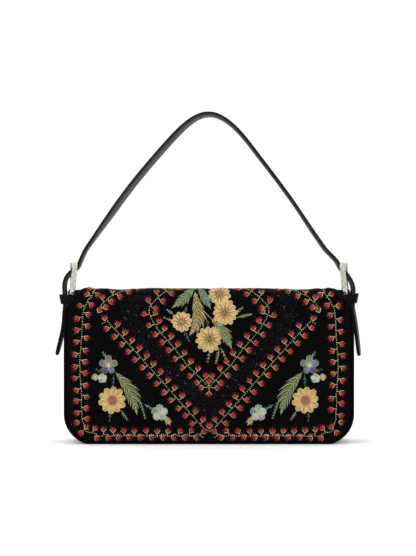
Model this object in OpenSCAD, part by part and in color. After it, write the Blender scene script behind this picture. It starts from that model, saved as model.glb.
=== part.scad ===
// A small baguette shoulder bag: a soft shell with a full front flap and one arched strap with a buckle at each end.
// X runs across the bag, the front is at -Y and Z is up. The origin is the middle of the base, on the ground.

/* [Bag] */
// Width of the bag at its widest
bag_w = 270; // [262:1:290]
// Height of the closed bag
bag_h = 144; // [140:1:165]
// Depth from the front panel to the back panel
bag_d = 48; // [46:1:56]
// Radius of the bottom corners
corner_r = 28; // [20:1:34]
// Thickness of the front, back, gusset and base panels
panel_t = 2.6; // [1.8:0.1:3]
// How far each side curves in at the neck, where the rivets are
neck_in = 11; // [10:0.5:16]
// Height over which the sides curve in to the neck
shoulder_h = 36; // [28:1:44]
// Height over which the middle of each gusset folds in
pleat_h = 58; // [40:1:66]
// Half width of the flat strip in the middle of each gusset, which the tab lies on
pleat_flat = 12; // [11.5:0.5:14]

/* [Inside] */
// Thickness of the lining
lining_t = 1; // [0.6:0.1:1.4]
// Thickness of the board in the base
board_t = 2; // [1:0.5:3]
// Length of the board in the base
board_l = 200; // [160:5:210]
// Height of the facing band round the mouth
facing_h = 15; // [13.5:0.5:24]
// Thickness of the facing band
facing_t = 0.8; // [0.5:0.1:1.2]
// Width of the slip pocket
pocket_w = 130; // [90:5:170]
// Height of the slip pocket
pocket_h = 85; // [60:5:95]
// Thickness of the slip pocket's cloth
pocket_t = 0.9; // [0.6:0.1:1.2]

/* [Flap] */
// Thickness of the flap's outer cloth
flap_cover_t = 1.8; // [1.2:0.1:2.4]
// Thickness of the flap's lining
flap_lining_t = 1.2; // [0.8:0.1:1.6]
// Radius of the fold at the front of the flap
fold_r = 10; // [8:0.5:14]
// How far the flap stays inside the bag's edge at each side
flap_side = 3.5; // [1:0.5:8]
// Height of the flap's lower edge above the ground
flap_lift = 3; // [1:0.5:12]
// Diameter of the magnetic snap
snap_d = 17; // [12:0.5:20]
// Diameter of the snap's stud
stud_d = 6; // [4:0.5:8]
// Height of the snap above the ground
snap_z = 42; // [34:1:70]

/* [Strap] */
// Width of the strap
strap_w = 18; // [16:0.5:20]
// Thickness of the strap's outer leather
strap_outer_t = 1.8; // [1.4:0.1:2]
// Thickness of the strap's lining leather
strap_lining_t = 1.6; // [1.2:0.1:2]
// Height of the strap's middle above the bag
strap_rise = 166.8; // [120:1:220]
// How round the top of the arch is
arch_round = 0.25; // [0.1:0.05:0.5]
// Thickness of the strap's tails
tail_t = 2.8; // [2:0.1:3.2]
// Length of the strap's tails below the keepers
tail_l = 48; // [30:1:60]
// Angle at which the tails stand out
tail_lean = 7.6; // [6:0.1:12]

/* [Buckle] */
// Thickness of the buckle's bars
bar_d = 4.8; // [3.6:0.1:5]
// Distance between the buckle's lower and upper bars
buckle_l = 26.5; // [24:0.5:32]
// Angle at which the buckles lean inward
buckle_lean = 6; // [3:0.5:8]
// Radius of the buckle's outer corners
buckle_r = 5; // [3:0.5:6]
// Diameter of the prong
prong_d = 2.2; // [1.6:0.1:2.6]
// How far the tip of the prong can lift off the bar
prong_play = 1.6; // [1.2:0.1:2]
// Thickness of the tab's leather
tab_t = 1.8; // [1.4:0.1:2]
// Distance from the rivet up to the buckle's lower bar
tab_l = 14.5; // [14.4:0.1:18]
// Height of the keeper
keeper_h = 9.4; // [7:0.1:9.4]
// Width of the keeper, seen from the front
keeper_w = 15.9; // [15.5:0.1:18]
// Thickness of the keeper's leather
keeper_t = 1.1; // [0.8:0.1:1.2]
// Depth of the rivets below the top of the bag
rivet_drop = 17.3; // [17:0.1:22]
// Diameter of the rivet's shaft
rivet_d = 4; // [3:0.1:5]
// Diameter of the rivet's head
rivet_head_d = 9; // [7:0.5:11]

/* [Hidden] */
$fn = 48;

// Clearance between soft pieces that move past each other
soft_gap = 0.4;
// Radial clearance of a pin in its hole
pin_gap = 0.05;
// Clearance between pieces of one body that only lie on each other
lay_gap = 0.1;
half_d = bag_d / 2;
inner_d = half_d - panel_t;
panel_top = bag_h - fold_r + 0.5;
flap_t = flap_cover_t + flap_lining_t;
flap_y = -half_d - 0.6 - flap_t;
flap_hinge_z = bag_h - fold_r;
top_hinge_z = bag_h - flap_t;
neck_x = bag_w / 2 - neck_in;
rivet_z = bag_h - rivet_drop;
lining_in = panel_t + 3 * lay_gap;
lining_floor = panel_t + board_t + lay_gap;
facing_in = lining_in + lining_t + 2 * lay_gap;
keeper_x = neck_x + 0.5;
tab_x = keeper_x + keeper_t + 0.1;
tab_ring = bar_d / 2 + lay_gap + tab_t;
bar_x = tab_x + tab_ring;
bar_z = rivet_z + tab_l;
top_bar_x = bar_x - buckle_l * sin(buckle_lean);
top_bar_z = bar_z + buckle_l * cos(buckle_lean);
strap_in_x = top_bar_x - bar_d / 2 - 0.3 - strap_outer_t;
strap_out_x = bar_x + tab_ring + 0.3 + strap_lining_t;
keeper_bottom = bar_z - bar_d / 2 - 0.3 - keeper_h;
arch_z = top_bar_z + 2;
apex_z = bag_h + strap_rise;
bend_top = top_bar_z - 2;
bend_bottom = top_bar_z - 17;
tail_z = keeper_bottom - 0.7;
slot_w = prong_d + 1;
tab_stack = 2 * tab_t + lay_gap;
head_x = tab_x + tab_stack + lay_gap;

// Smooth steps between 0 and 1
function late_step(t) = t <= 0 ? 0 : t >= 1 ? 1 : pow(t, 3.2);
function soft_step(t) = t <= 0 ? 0 : t >= 1 ? 1 : t * t * (3 - 2 * t);

// Half width of the bag's outline, and of the folded middle of its gussets, at height z
neck_z = rivet_z + 0.6;
function side_half(z) = bag_w / 2 - neck_in * late_step((z - neck_z + shoulder_h) / shoulder_h);
pleat_z = rivet_z - rivet_head_d - 6;
function pleat_half(z) = bag_w / 2 - neck_in * soft_step((z - pleat_z + pleat_h) / pleat_h);
function pleat_share(y) = abs(y) <= pleat_flat ? 1 : abs(y) >= inner_d ? 0
    : pow(cos(90 * (abs(y) - pleat_flat) / (inner_d - pleat_flat)), 2);
function pleat_in(y, z) = pleat_share(y) * max(0, side_half(z) - pleat_half(z));

// Right edge of the outline from the floor up, inset by d
function edge_points(d, floor_z, top) = let (r = corner_r - d) concat(
    [for (i = [0 : 8]) [bag_w / 2 - corner_r + r * sin(i * 90 / 8), floor_z + r * (1 - cos(i * 90 / 8))]],
    [for (i = [1 : 15]) let (z = floor_z + r + (top - floor_z - r) * i / 15) [side_half(z) - d, z]]);

function mirrored(points) = [for (i = [len(points) - 1 : -1 : 0]) [-points[i][0], points[i][1]]];

module outline(d, floor_z, top) {
    right = edge_points(d, floor_z, top);
    polygon(concat(right, mirrored(right)));
}

// Stands a flat shape up in the XZ plane between two depths
module plate(y0, y1) {
    translate([0, y1, 0]) rotate([90, 0, 0]) linear_extrude(y1 - y0) children();
}

// Solid through rings, each with its right side from front to back and then its left side from back to front
module loft(rings) {
    n = len(rings[0]);
    last = len(rings) - 1;
    caps = [for (i = [0 : n / 2 - 2]) [i, i + 1, n - 2 - i, n - 1 - i]];
    polyhedron(
        points = [for (ring = rings) each ring],
        faces = concat(
            caps,
            [for (cap = caps) [for (i = [3 : -1 : 0]) last * n + cap[i]]],
            [for (k = [0 : last - 1]) for (i = [0 : n - 1]) let (j = (i + 1) % n) each
                [[k * n + i, (k + 1) * n + i, (k + 1) * n + j], [k * n + i, (k + 1) * n + j, k * n + j]]]));
}

function fold_steps(y_end) = concat(
    [for (k = [0 : 3]) pleat_flat + (inner_d - pleat_flat) * k / 4], y_end > inner_d ? [inner_d] : [], [y_end]);
function fold_ys(y_end) = let (s = fold_steps(y_end)) concat([for (i = [len(s) - 1 : -1 : 0]) -s[i]], s);

// The bag's inner space as a solid, with both sides folded in: inset by d, from -y_end to y_end
module bag_core(d, floor_z, y_end, top) {
    ys = fold_ys(y_end);
    loft([for (p = edge_points(d, floor_z, top)) concat(
        [for (i = [0 : len(ys) - 1]) [p[0] - pleat_in(ys[i], p[1]), ys[i], p[1]]],
        [for (i = [len(ys) - 1 : -1 : 0]) [-p[0] + pleat_in(ys[i], p[1]), ys[i], p[1]]])]);
}

module rivet_bores(d) {
    translate([-bag_w / 2, 0, rivet_z]) rotate([0, 90, 0]) cylinder(h = bag_w, d = d);
}

// Shell of the bag
module front_panel() {
    color("#17141a") difference() {
        plate(-half_d, -inner_d) outline(0, 0, panel_top);
        translate([0, -half_d + panel_t - 1, snap_z]) rotate([90, 0, 0]) cylinder(h = panel_t, d = snap_d + 2 * pin_gap);
    }
}

module back_panel() {
    color("#17141a") plate(inner_d, half_d) outline(0, 0, top_hinge_z - soft_gap);
}

module gusset(side) {
    color("#1c181e") difference() {
        intersection() {
            bag_core(0, 0, inner_d, panel_top);
            translate([side > 0 ? bag_w / 2 - corner_r : -bag_w, -half_d, -1])
                cube([bag_w / 2 + corner_r, bag_d, bag_h + 2]);
        }
        bag_core(panel_t, panel_t, inner_d + 1, panel_top + 1);
        rivet_bores(rivet_d + 2 * pin_gap);
    }
}

module gusset_left() {
    gusset(-1);
}

module gusset_right() {
    gusset(1);
}

module base_panel() {
    color("#1c181e") translate([-bag_w / 2 + corner_r, -inner_d, 0])
        cube([bag_w - 2 * corner_r, 2 * inner_d, panel_t]);
}

module base_board() {
    color("#8a7a5e") translate([-board_l / 2, -inner_d + 1.5, panel_t])
        cube([board_l, 2 * inner_d - 3, board_t]);
}

// What lies inside the shell
module lining() {
    color("#2a2428") difference() {
        bag_core(lining_in, lining_floor, inner_d - lay_gap, panel_top);
        bag_core(lining_in + lining_t, lining_floor + lining_t, inner_d - lay_gap - lining_t, panel_top + 1);
        rivet_bores(rivet_d + 2 * pin_gap);
    }
}

module mouth_facing() {
    color("#1b1b1d") difference() {
        intersection() {
            bag_core(facing_in, lining_floor + 2, inner_d - 2 * lay_gap - lining_t, panel_top);
            translate([-bag_w / 2, -half_d, panel_top - facing_h]) cube([bag_w, bag_d, facing_h]);
        }
        bag_core(facing_in + facing_t, lining_floor + 3, inner_d - 2 * lay_gap - lining_t - facing_t, panel_top + 1);
        rivet_bores(rivet_d + 2 * pin_gap);
    }
}

module slip_pocket() {
    pocket_y = inner_d - 2 * lay_gap - lining_t;
    pocket_z = panel_top - facing_h - 8 - pocket_h;
    color("#332b30") difference() {
        translate([-pocket_w / 2, pocket_y - 3, pocket_z]) cube([pocket_w, 3, pocket_h]);
        translate([-pocket_w / 2 + 3, pocket_y - 3 + pocket_t, pocket_z + 3])
            cube([pocket_w - 6, 3, pocket_h]);
    }
}

// Magnetic snap: the socket in the front panel and the stud in the flap's lining
module snap_base() {
    color("#b9bbbd") translate([0, 0, snap_z]) rotate([90, 0, 0]) difference() {
        translate([0, 0, half_d - panel_t + 1]) cylinder(h = panel_t - 1, d = snap_d);
        translate([0, 0, half_d - 1.2]) cylinder(h = 3, d = stud_d + 1);
    }
}

module snap_cap() {
    stud_l = 1.4;
    lining_y = -flap_y - flap_cover_t;
    color("#b9bbbd") translate([0, 0, snap_z]) rotate([90, 0, 0]) {
        translate([0, 0, lining_y - flap_lining_t]) cylinder(h = flap_lining_t, d = snap_d);
        translate([0, 0, lining_y - flap_lining_t - stud_l]) cylinder(h = stud_l + 0.2, d = stud_d);
    }
}

// Flap: the cross-section of its top, between two depths below the outer face
module top_section(outer, inner) {
    r_out = fold_r - outer;
    r_in = fold_r - inner;
    centre = [flap_y + fold_r, bag_h - fold_r];
    arc_end = asin(soft_gap / fold_r);
    polygon(concat(
        [[half_d, bag_h - outer]],
        [for (i = [0 : 12]) let (a = 90 + (90 - arc_end) * i / 12) centre + r_out * [cos(a), sin(a)]],
        [for (i = [12 : -1 : 0]) let (a = 90 + (90 - arc_end) * i / 12) centre + r_in * [cos(a), sin(a)]],
        [[half_d, bag_h - inner]]));
}

module flap_top(outer, inner) {
    translate([-neck_x, 0, 0]) rotate([90, 0, 90]) linear_extrude(2 * neck_x) top_section(outer, inner);
}

module flap_top_cover() {
    color("#141116") flap_top(0, flap_cover_t);
}

module flap_top_lining() {
    color("#2a2428") flap_top(flap_cover_t, flap_t);
}

module flap_sheet(y0, y1) {
    plate(y0, y1) intersection() {
        outline(flap_side, flap_lift, flap_hinge_z);
        union() {
            translate([-bag_w, 0]) square([2 * bag_w, neck_z]);
            translate([-neck_x + flap_side, 0]) square([2 * (neck_x - flap_side), bag_h]);
        }
    }
}

module flap_front_cover() {
    color("#141116") flap_sheet(flap_y, flap_y + flap_cover_t);
}

module flap_front_lining() {
    color("#2a2428") difference() {
        flap_sheet(flap_y + flap_cover_t, flap_y + flap_t);
        translate([0, 0, snap_z]) rotate([90, 0, 0]) cylinder(h = bag_d, d = snap_d + 2 * pin_gap);
    }
}

// Strap: the arch from its apex down to a buckle, through the buckle and into the keeper
function arch_drop(u) = (sqrt(u * u + arch_round * arch_round) - arch_round)
    / (sqrt(1 + arch_round * arch_round) - arch_round);
function strap_half() = concat(
    [for (i = [0 : 24]) let (u = i / 24) [u * strap_in_x, apex_z - (apex_z - arch_z) * arch_drop(u)]],
    [for (i = [0 : 12]) let (z = bend_top + (bend_bottom - bend_top) * i / 12)
        [strap_in_x + (strap_out_x - strap_in_x) * soft_step(i / 12), z]],
    [[strap_out_x, bar_z], [strap_out_x, keeper_bottom - 0.2]]);
function strap_path() = let (right = strap_half()) concat(mirrored(right), [for (i = [1 : len(right) - 1]) right[i]]);

function unit(v) = v / norm(v);
function along(p, i) = unit(p[min(i + 1, len(p) - 1)] - p[max(i - 1, 0)]);
function beside(p, i, d) = let (t = along(p, i)) p[i] + d * [-t[1], t[0]];

// Band of leather along a path in the XZ plane, between two distances to the left of the path
module ribbon(path, from, to, width) {
    n = len(path) - 1;
    plate(-width / 2, width / 2) polygon(concat(
        [for (i = [0 : n]) beside(path, i, to)], [for (i = [n : -1 : 0]) beside(path, i, from)]));
}

module prong_slots() {
    for (side = [-1, 1])
        translate([side * (bar_x + 1) - prong_d / 2 - prong_play - 0.8, -slot_w / 2, bend_bottom - 3])
            cube([prong_d + 2 * prong_play + 1.6, slot_w, bend_top - bend_bottom + 5]);
}

module strap_outer() {
    color("#19181b") difference() {
        ribbon(strap_path(), 0, strap_outer_t, strap_w);
        prong_slots();
    }
}

module strap_lining() {
    color("#2b292c") difference() {
        ribbon(strap_path(), -strap_lining_t, 0, strap_w);
        prong_slots();
    }
}

// Puts a right-hand piece on the given side
module on_side(side) {
    if (side > 0) children();
    else mirror([1, 0, 0]) children();
}

module tail(side) {
    tip_l = 11;
    edge = [for (i = [0 : 10]) let (a = 90 * i / 10) [strap_w / 2 * cos(a), -tail_l + tip_l - tip_l * sin(a)]];
    color("#19181b") on_side(side) translate([strap_out_x, 0, tail_z]) rotate([0, -tail_lean, 0])
        translate([-tail_t / 2, 0, 0]) rotate([90, 0, 90]) linear_extrude(tail_t)
            polygon(concat([[-strap_w / 2, 0], [strap_w / 2, 0]], edge, mirrored(edge)));
}

module strap_tail_left() {
    tail(-1);
}

module strap_tail_right() {
    tail(1);
}

// Buckle: a flat frame that stands on its round lower bar, and a prong that turns on that bar
module rounded_square(size, r) {
    for (x = [r, size[0] - r], y = [r, size[1] - r]) translate([x, y]) circle(r);
    translate([r, 0]) square([size[0] - 2 * r, size[1]]);
    translate([0, r]) square([size[0], size[1] - 2 * r]);
}

module leaning(side) {
    translate([side * bar_x, 0, bar_z]) rotate([0, -side * buckle_lean, 0]) children();
}

module buckle(side) {
    frame_in = strap_w + 1.5;
    frame_out = frame_in + 2 * bar_d;
    color("#c9cacb") leaning(side) {
        difference() {
            translate([-bar_d / 2, 0, 0]) rotate([90, 0, 90]) linear_extrude(bar_d) difference() {
                translate([-frame_out / 2, -bar_d / 2]) rounded_square([frame_out, buckle_l + bar_d], buckle_r);
                translate([-frame_in / 2, -bar_d]) rounded_square([frame_in, buckle_l + bar_d / 2], 2);
            }
            for (s = [-1, 1]) translate([s * bar_d * 0.9, -frame_out, buckle_l + bar_d / 2]) rotate([0, 45 * s, 0])
                translate([-bar_d / 2, 0, -bar_d / 2]) cube([bar_d, 2 * frame_out, bar_d]);
        }
        translate([0, frame_in / 2 + 1, 0]) rotate([90, 0, 0]) cylinder(h = frame_in + 2, d = bar_d);
    }
}

module buckle_left() {
    buckle(-1);
}

module buckle_right() {
    buckle(1);
}

module prong(side) {
    ring_d = bar_d + 2 * tab_t - 0.4;
    lean = atan((bar_d / 2 + prong_d / 2 + 0.2) / (buckle_l - bar_d / 2));
    color("#c9cacb") leaning(side) difference() {
        union() {
            translate([0, prong_d / 2, 0]) rotate([90, 0, 0]) cylinder(h = prong_d, d = ring_d);
            rotate([0, side * lean, 0]) cylinder(h = buckle_l + 1.5, d = prong_d);
            rotate([0, side * lean, 0]) translate([0, 0, buckle_l + 1.5]) sphere(d = prong_d);
        }
        translate([0, prong_d, 0]) rotate([90, 0, 0]) cylinder(h = 2 * prong_d, d = bar_d + 2 * pin_gap);
    }
}

module prong_left() {
    prong(-1);
}

module prong_right() {
    prong(1);
}

// Keeper: a closed loop of leather round the tab and the strap
module keeper(side) {
    depth = strap_w + 3.6;
    color("#19181b") on_side(side) translate([keeper_x, -depth / 2, keeper_bottom]) linear_extrude(keeper_h)
        difference() {
            rounded_square([keeper_w, depth], keeper_t + 0.8);
            translate([keeper_t, keeper_t]) rounded_square([keeper_w - 2 * keeper_t, depth - 2 * keeper_t], 0.8);
        }
}

module keeper_left() {
    keeper(-1);
}

module keeper_right() {
    keeper(1);
}

// Tab: one piece of leather folded round the buckle's lower bar, both ends on the rivet
module tab(side) {
    r = tab_ring - tab_t / 2;
    in_x = tab_x + tab_t / 2;
    out_x = in_x + tab_t + lay_gap;
    end_z = rivet_z - strap_w / 2;
    path = concat(
        [[in_x, end_z], [in_x, rivet_z]],
        [for (a = [180 : -15 : 0]) [bar_x + r * cos(a), bar_z + r * sin(a)]],
        [for (i = [1 : 6]) let (t = i / 6) [bar_x + r + (out_x - bar_x - r) * soft_step(t), bar_z - 8 * t]],
        [[out_x, rivet_z], [out_x, end_z]]);
    color("#19181b") on_side(side) difference() {
        intersection() {
            ribbon(path, -tab_t / 2, tab_t / 2, strap_w);
            translate([0, 0, rivet_z]) rotate([90, 0, 90]) linear_extrude(bag_w) union() {
                circle(d = strap_w);
                translate([-strap_w / 2, 0]) square([strap_w, 2 * tab_l]);
            }
        }
        translate([tab_x, -slot_w / 2, bar_z - tab_ring - 0.2]) cube([2 * tab_ring + 1, slot_w, 2 * tab_ring + 1]);
        rivet_bores(rivet_d + 2 * pin_gap);
    }
}

module tab_left() {
    tab(-1);
}

module tab_right() {
    tab(1);
}

// Rivet: head and shaft, and a cap on the end of the shaft inside the bag
module rivet(side) {
    inside_x = neck_x - facing_in - facing_t - 1;
    color("#b4b5b6") on_side(side) translate([0, 0, rivet_z]) rotate([0, 90, 0]) {
        translate([0, 0, inside_x]) cylinder(h = head_x - inside_x + 0.5, d = rivet_d);
        translate([0, 0, head_x]) rivet_dome(rivet_head_d, 1.8);
    }
}

// Low dome of a given diameter and height, with its flat face down
module rivet_dome(d, h) {
    sphere_r = (d * d / 4 + h * h) / (2 * h);
    arc = asin(d / 2 / sphere_r);
    rotate_extrude() polygon(concat(
        [[0, 0]], [for (i = [0 : 8]) let (a = arc * (1 - i / 8)) [sphere_r * sin(a), sphere_r * cos(a) - sphere_r + h]]));
}

module rivet_cap(side) {
    cap_x = neck_x - facing_in - facing_t;
    color("#b4b5b6") on_side(side) translate([cap_x, 0, rivet_z]) rotate([0, -90, 0]) difference() {
        rivet_dome(rivet_head_d, 2);
        translate([0, 0, -0.5]) cylinder(h = 1.5, d = rivet_d + 2 * pin_gap);
    }
}

module rivet_left() {
    rivet(-1);
}

module rivet_right() {
    rivet(1);
}

module rivet_cap_left() {
    rivet_cap(-1);
}

module rivet_cap_right() {
    rivet_cap(1);
}

front_panel();
back_panel();
gusset_left();
gusset_right();
base_panel();
base_board();
lining();
slip_pocket();
mouth_facing();
snap_base();
rivet_left();
rivet_right();
rivet_cap_left();
rivet_cap_right();
flap_top_cover();
flap_top_lining();
flap_front_cover();
flap_front_lining();
snap_cap();
strap_outer();
strap_lining();
buckle_left();
buckle_right();
prong_left();
prong_right();
keeper_left();
keeper_right();
tab_left();
tab_right();
strap_tail_left();
strap_tail_right();
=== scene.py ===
import math

import bpy
import numpy as np
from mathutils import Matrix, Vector


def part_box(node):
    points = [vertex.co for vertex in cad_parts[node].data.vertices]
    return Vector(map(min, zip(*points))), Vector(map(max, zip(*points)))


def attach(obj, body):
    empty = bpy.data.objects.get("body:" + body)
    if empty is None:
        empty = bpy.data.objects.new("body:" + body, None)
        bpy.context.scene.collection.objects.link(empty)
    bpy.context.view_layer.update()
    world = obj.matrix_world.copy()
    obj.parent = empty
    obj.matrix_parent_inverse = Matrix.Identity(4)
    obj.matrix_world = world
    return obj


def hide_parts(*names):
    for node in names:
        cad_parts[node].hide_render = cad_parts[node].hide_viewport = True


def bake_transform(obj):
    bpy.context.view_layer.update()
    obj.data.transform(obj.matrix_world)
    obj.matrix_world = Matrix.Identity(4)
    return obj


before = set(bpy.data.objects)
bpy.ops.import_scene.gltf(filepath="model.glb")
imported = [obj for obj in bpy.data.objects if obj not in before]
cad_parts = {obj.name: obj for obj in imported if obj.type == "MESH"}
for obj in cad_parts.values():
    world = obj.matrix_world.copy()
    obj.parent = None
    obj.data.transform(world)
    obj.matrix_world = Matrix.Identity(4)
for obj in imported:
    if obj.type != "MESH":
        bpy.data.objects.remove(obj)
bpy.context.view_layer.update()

MM = 0.001
rng = np.random.default_rng(1907)

# Sizes in millimetres, the same as in the part's source
bag_w = 270.0
bag_h = 144.0
half_d = 24.0
corner_r = 28.0
panel_t = 2.6
neck_in = 11.0
pleat_h = 58.0
pleat_flat = 12.0
pleat_z = 111.7
inner_d = 21.4
panel_top = 134.5
snap_z = 42.0
fold_r = 10.0
fold_z = bag_h - fold_r
flap_y = 27.6
flap_low = 3.0
flap_half = 131.5
top_back = 14.0

# Camera and view, which show the bag as the photograph does
view_height = 518.4
lens = 100.0
sensor = 36.0
camera_x = -0.9
camera_z = 155.3

scene = bpy.context.scene
scene.view_settings.view_transform = "Standard"
scene.view_settings.look = "None"
camera_data = bpy.data.cameras.new("camera")
camera_data.lens = lens
camera_data.sensor_width = sensor
camera_data.sensor_fit = "AUTO"
camera_data.clip_start = 0.05
camera_data.clip_end = 60.0
camera = bpy.data.objects.new("camera", camera_data)
camera.location = (camera_x * MM, (-flap_y - view_height * lens / sensor) * MM, camera_z * MM)
camera.rotation_euler = (math.radians(90), 0, 0)
scene.collection.objects.link(camera)
scene.camera = camera


# ---------------------------------------------------------------- materials
def fill(tree, made, values):
    """Sets a node's inputs or settings by name. An output of another node is linked."""
    for key, value in values.items():
        socket = made.inputs.get(key.replace("_", " "))
        if socket is None:
            setattr(made, key, value)
        elif isinstance(value, bpy.types.NodeSocket):
            tree.links.new(value, socket)
        else:
            socket.default_value = value


def node(tree, kind, output, **values):
    made = tree.nodes.new("ShaderNode" + kind)
    fill(tree, made, values)
    return made.outputs[output]


def new_material(name):
    material = bpy.data.materials.new(name)
    material.use_nodes = True
    tree = material.node_tree
    return material, tree, next(n for n in tree.nodes if n.type == "BSDF_PRINCIPLED")


def texture(kind, output, **values):
    return kind, output, tuple(values.items())


def noise(scale, detail=3.0, roughness=0.6, distortion=0.0):
    return texture("TexNoise", "Fac", Scale=scale, Detail=detail, Roughness=roughness, Distortion=distortion)


def cells(scale):
    return texture("TexVoronoi", "Distance", Scale=scale)


def surface(name, base, stops, rough, low, high, bumps, painted=False, **inputs):
    """A material made of textures: base gives the colour between two stops, rough the roughness from low to high, and
    each of bumps is (texture, strength, distance in metres). painted multiplies the colour by the mesh's own."""
    material, tree, shader = new_material(name)
    at = node(tree, "Mapping", "Vector", Vector=node(tree, "TexCoord", "Object"))
    made = {}
    for kind, output, values in dict.fromkeys([base, rough] + [height for height, _, _ in bumps]):
        made[kind, output, values] = node(tree, kind, output, Vector=at, **dict(values))
    band = tree.nodes.new("ShaderNodeValToRGB")
    for element, (place, colour) in zip(band.color_ramp.elements, stops):
        element.position = place
        element.color = (*colour, 1)
    tree.links.new(made[base], band.inputs["Fac"])
    colour = band.outputs["Color"]
    if painted:
        own = node(tree, "VertexColor", "Color", layer_name="thread")
        colour = node(tree, "Mix", "Result", data_type="RGBA", blend_type="MULTIPLY", Factor=1.0, A=colour, B=own)
    last = {}
    for height, strength, distance in bumps:
        normal = node(tree, "Bump", "Normal", Strength=strength, Distance=distance, Height=made[height], **last)
        last = {"Normal": normal}
    inputs["Base Color"] = colour
    inputs["Roughness"] = node(tree, "MapRange", "Result", To_Min=low, To_Max=high, Value=made[rough])
    fill(tree, shader, inputs | last)
    return material


def cloth(name, dark, light, rough, threads):
    mottle = noise(90.0, 4.0)
    weave = texture("TexWave", "Fac", wave_type="BANDS", bands_direction="DIAGONAL", Scale=threads, Distortion=1.5)
    return surface(name, mottle, ((0.3, dark), (0.75, light)), mottle, rough - 0.08, rough + 0.08,
                   [(weave, 0.2, 0.0002), (noise(1800.0, 2.0), 0.2, 0.0002)],
                   Sheen_Weight=0.05, Specular_IOR_Level=0.22)


def leather(name, dark, light, low, high, grain, gloss):
    wear = noise(60.0, 4.0)
    return surface(name, wear, ((0.35, dark), (0.8, light)), wear, low, high,
                   [(cells(grain), 0.25, 0.0003), (noise(grain * 2.4), 0.2, 0.0002)], Specular_IOR_Level=gloss)


def metal(name, colour, low, painted=False):
    """Metal with fine pits."""
    pits, worn = cells(1500.0), noise(900.0, 4.0)
    return surface(name, pits, ((0.05, [0.4 * c for c in colour]), (0.35, colour)), worn, low, 0.36,
                   [(pits, 0.5, 0.0001), (worn, 0.15, 0.0001)], painted, Metallic=1.0)


def bead(name, rough, coat, gloss):
    speck = noise(1500.0, 2.0, 0.5)
    return surface(name, speck, ((0.3, (0.7, 0.7, 0.7)), (0.7, (1, 1, 1))), speck, rough, rough + 0.15,
                   [(speck, 0.1, 0.0001)], True, Coat_Weight=coat, Coat_Roughness=0.08, Specular_IOR_Level=gloss)


pressed, fibre = noise(38.0, 4.0, 0.6, 0.6), noise(3200.0, 2.0)
velvet = surface("velvet", pressed, ((0.3, (0.0011, 0.00105, 0.0011)), (0.75, (0.0026, 0.0024, 0.0026))), pressed,
                 0.86, 1.0, [(noise(420.0), 0.35, 0.0006), (noise(2600.0, 2.0, 0.7), 0.5, 0.0002)],
                 Specular_IOR_Level=0.03, Sheen_Weight=0.13, Sheen_Roughness=0.36, Sheen_Tint=(0.62, 0.6, 0.64, 1))
floss = surface("floss", fibre, ((0.25, (0.62, 0.6, 0.58)), (0.7, (1, 1, 1))), fibre, 0.5, 0.7,
                [(fibre, 0.4, 0.0002)], True, Sheen_Weight=0.06, Sheen_Roughness=0.4, Specular_IOR_Level=0.25)
satin = cloth("satin_lining", (0.006, 0.0055, 0.006), (0.018, 0.0165, 0.018), 0.46, 900.0)
facing_cloth = cloth("facing_band", (0.008, 0.008, 0.008), (0.02, 0.019, 0.02), 0.6, 700.0)
board_cloth = cloth("board_cover", (0.01, 0.01, 0.01), (0.024, 0.023, 0.024), 0.5, 700.0)
strap_leather = leather("strap_leather", (0.0025, 0.0025, 0.0028), (0.009, 0.009, 0.0095), 0.36, 0.5, 900.0, 0.14)
tab_leather = leather("tab_leather", (0.002, 0.002, 0.0022), (0.007, 0.007, 0.0072), 0.4, 0.55, 900.0, 0.05)
strap_back_leather = leather("strap_back", (0.012, 0.012, 0.0125), (0.034, 0.034, 0.036), 0.5, 0.66, 1300.0, 0.25)
black_thread = leather("black_thread", (0.012, 0.012, 0.012), (0.03, 0.03, 0.03), 0.5, 0.6, 3000.0, 0.16)
silver = metal("buckle_metal", (0.62, 0.61, 0.56), 0.2, True)
prong_silver = metal("prong_metal", (0.55, 0.54, 0.5), 0.2)
snap_silver = metal("snap_metal", (0.6, 0.6, 0.62), 0.22)
stem_bead = bead("stem_bead", 0.3, 0.15, 0.25)
jet_bead = bead("jet_bead", 0.2, 0.02, 0.1)


# ---------------------------------------------------------------- mesh helpers
def numbers(*shape):
    return np.arange(math.prod(shape)).reshape(shape)


def quads(index):
    """Faces between neighbours in one or more grids of vertex numbers."""
    corners = [index[..., :-1, :-1], index[..., :-1, 1:], index[..., 1:, 1:], index[..., 1:, :-1]]
    return np.stack(corners, -1).reshape(-1, 4)


def mesh_object(name, points, faces, material, colours=None):
    """points in millimetres; faces a list of arrays of vertex numbers, four or three a row."""
    mesh = bpy.data.meshes.new(name)
    rows = [row for block in faces for row in np.asarray(block).tolist()]
    mesh.from_pydata((np.asarray(points, float).reshape(-1, 3) * MM).tolist(), [], rows)
    if colours is not None:
        layer = mesh.color_attributes.new("thread", "FLOAT_COLOR", "POINT")
        flat = np.ones((len(mesh.vertices), 4), np.float32)
        flat[:, :3] = colours.reshape(-1, 3)
        layer.data.foreach_set("color", flat.ravel())
    mesh.materials.append(material)
    mesh.polygons.foreach_set("use_smooth", [True] * len(mesh.polygons))
    mesh.update()
    made = bpy.data.objects.new(name, mesh)
    scene.collection.objects.link(made)
    return made


def outward(made):
    """Turns a closed mesh's faces outward."""
    mesh = made.data
    co = np.array([v.co for v in mesh.vertices])
    volume = 0.0
    for polygon in mesh.polygons:
        v = polygon.vertices
        for k in range(1, len(v) - 1):
            volume += np.dot(co[v[0]], np.cross(co[v[k]], co[v[k + 1]]))
    if volume < 0:
        mesh.flip_normals()
    return made


def unit(vectors):
    return vectors / np.maximum(np.linalg.norm(vectors, axis=-1, keepdims=True), 1e-9)


def upright(across, up):
    """Vectors (x, 0, z), which lie in the bag's own plane."""
    return np.stack([across, np.zeros(len(up)), up], -1)


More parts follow.
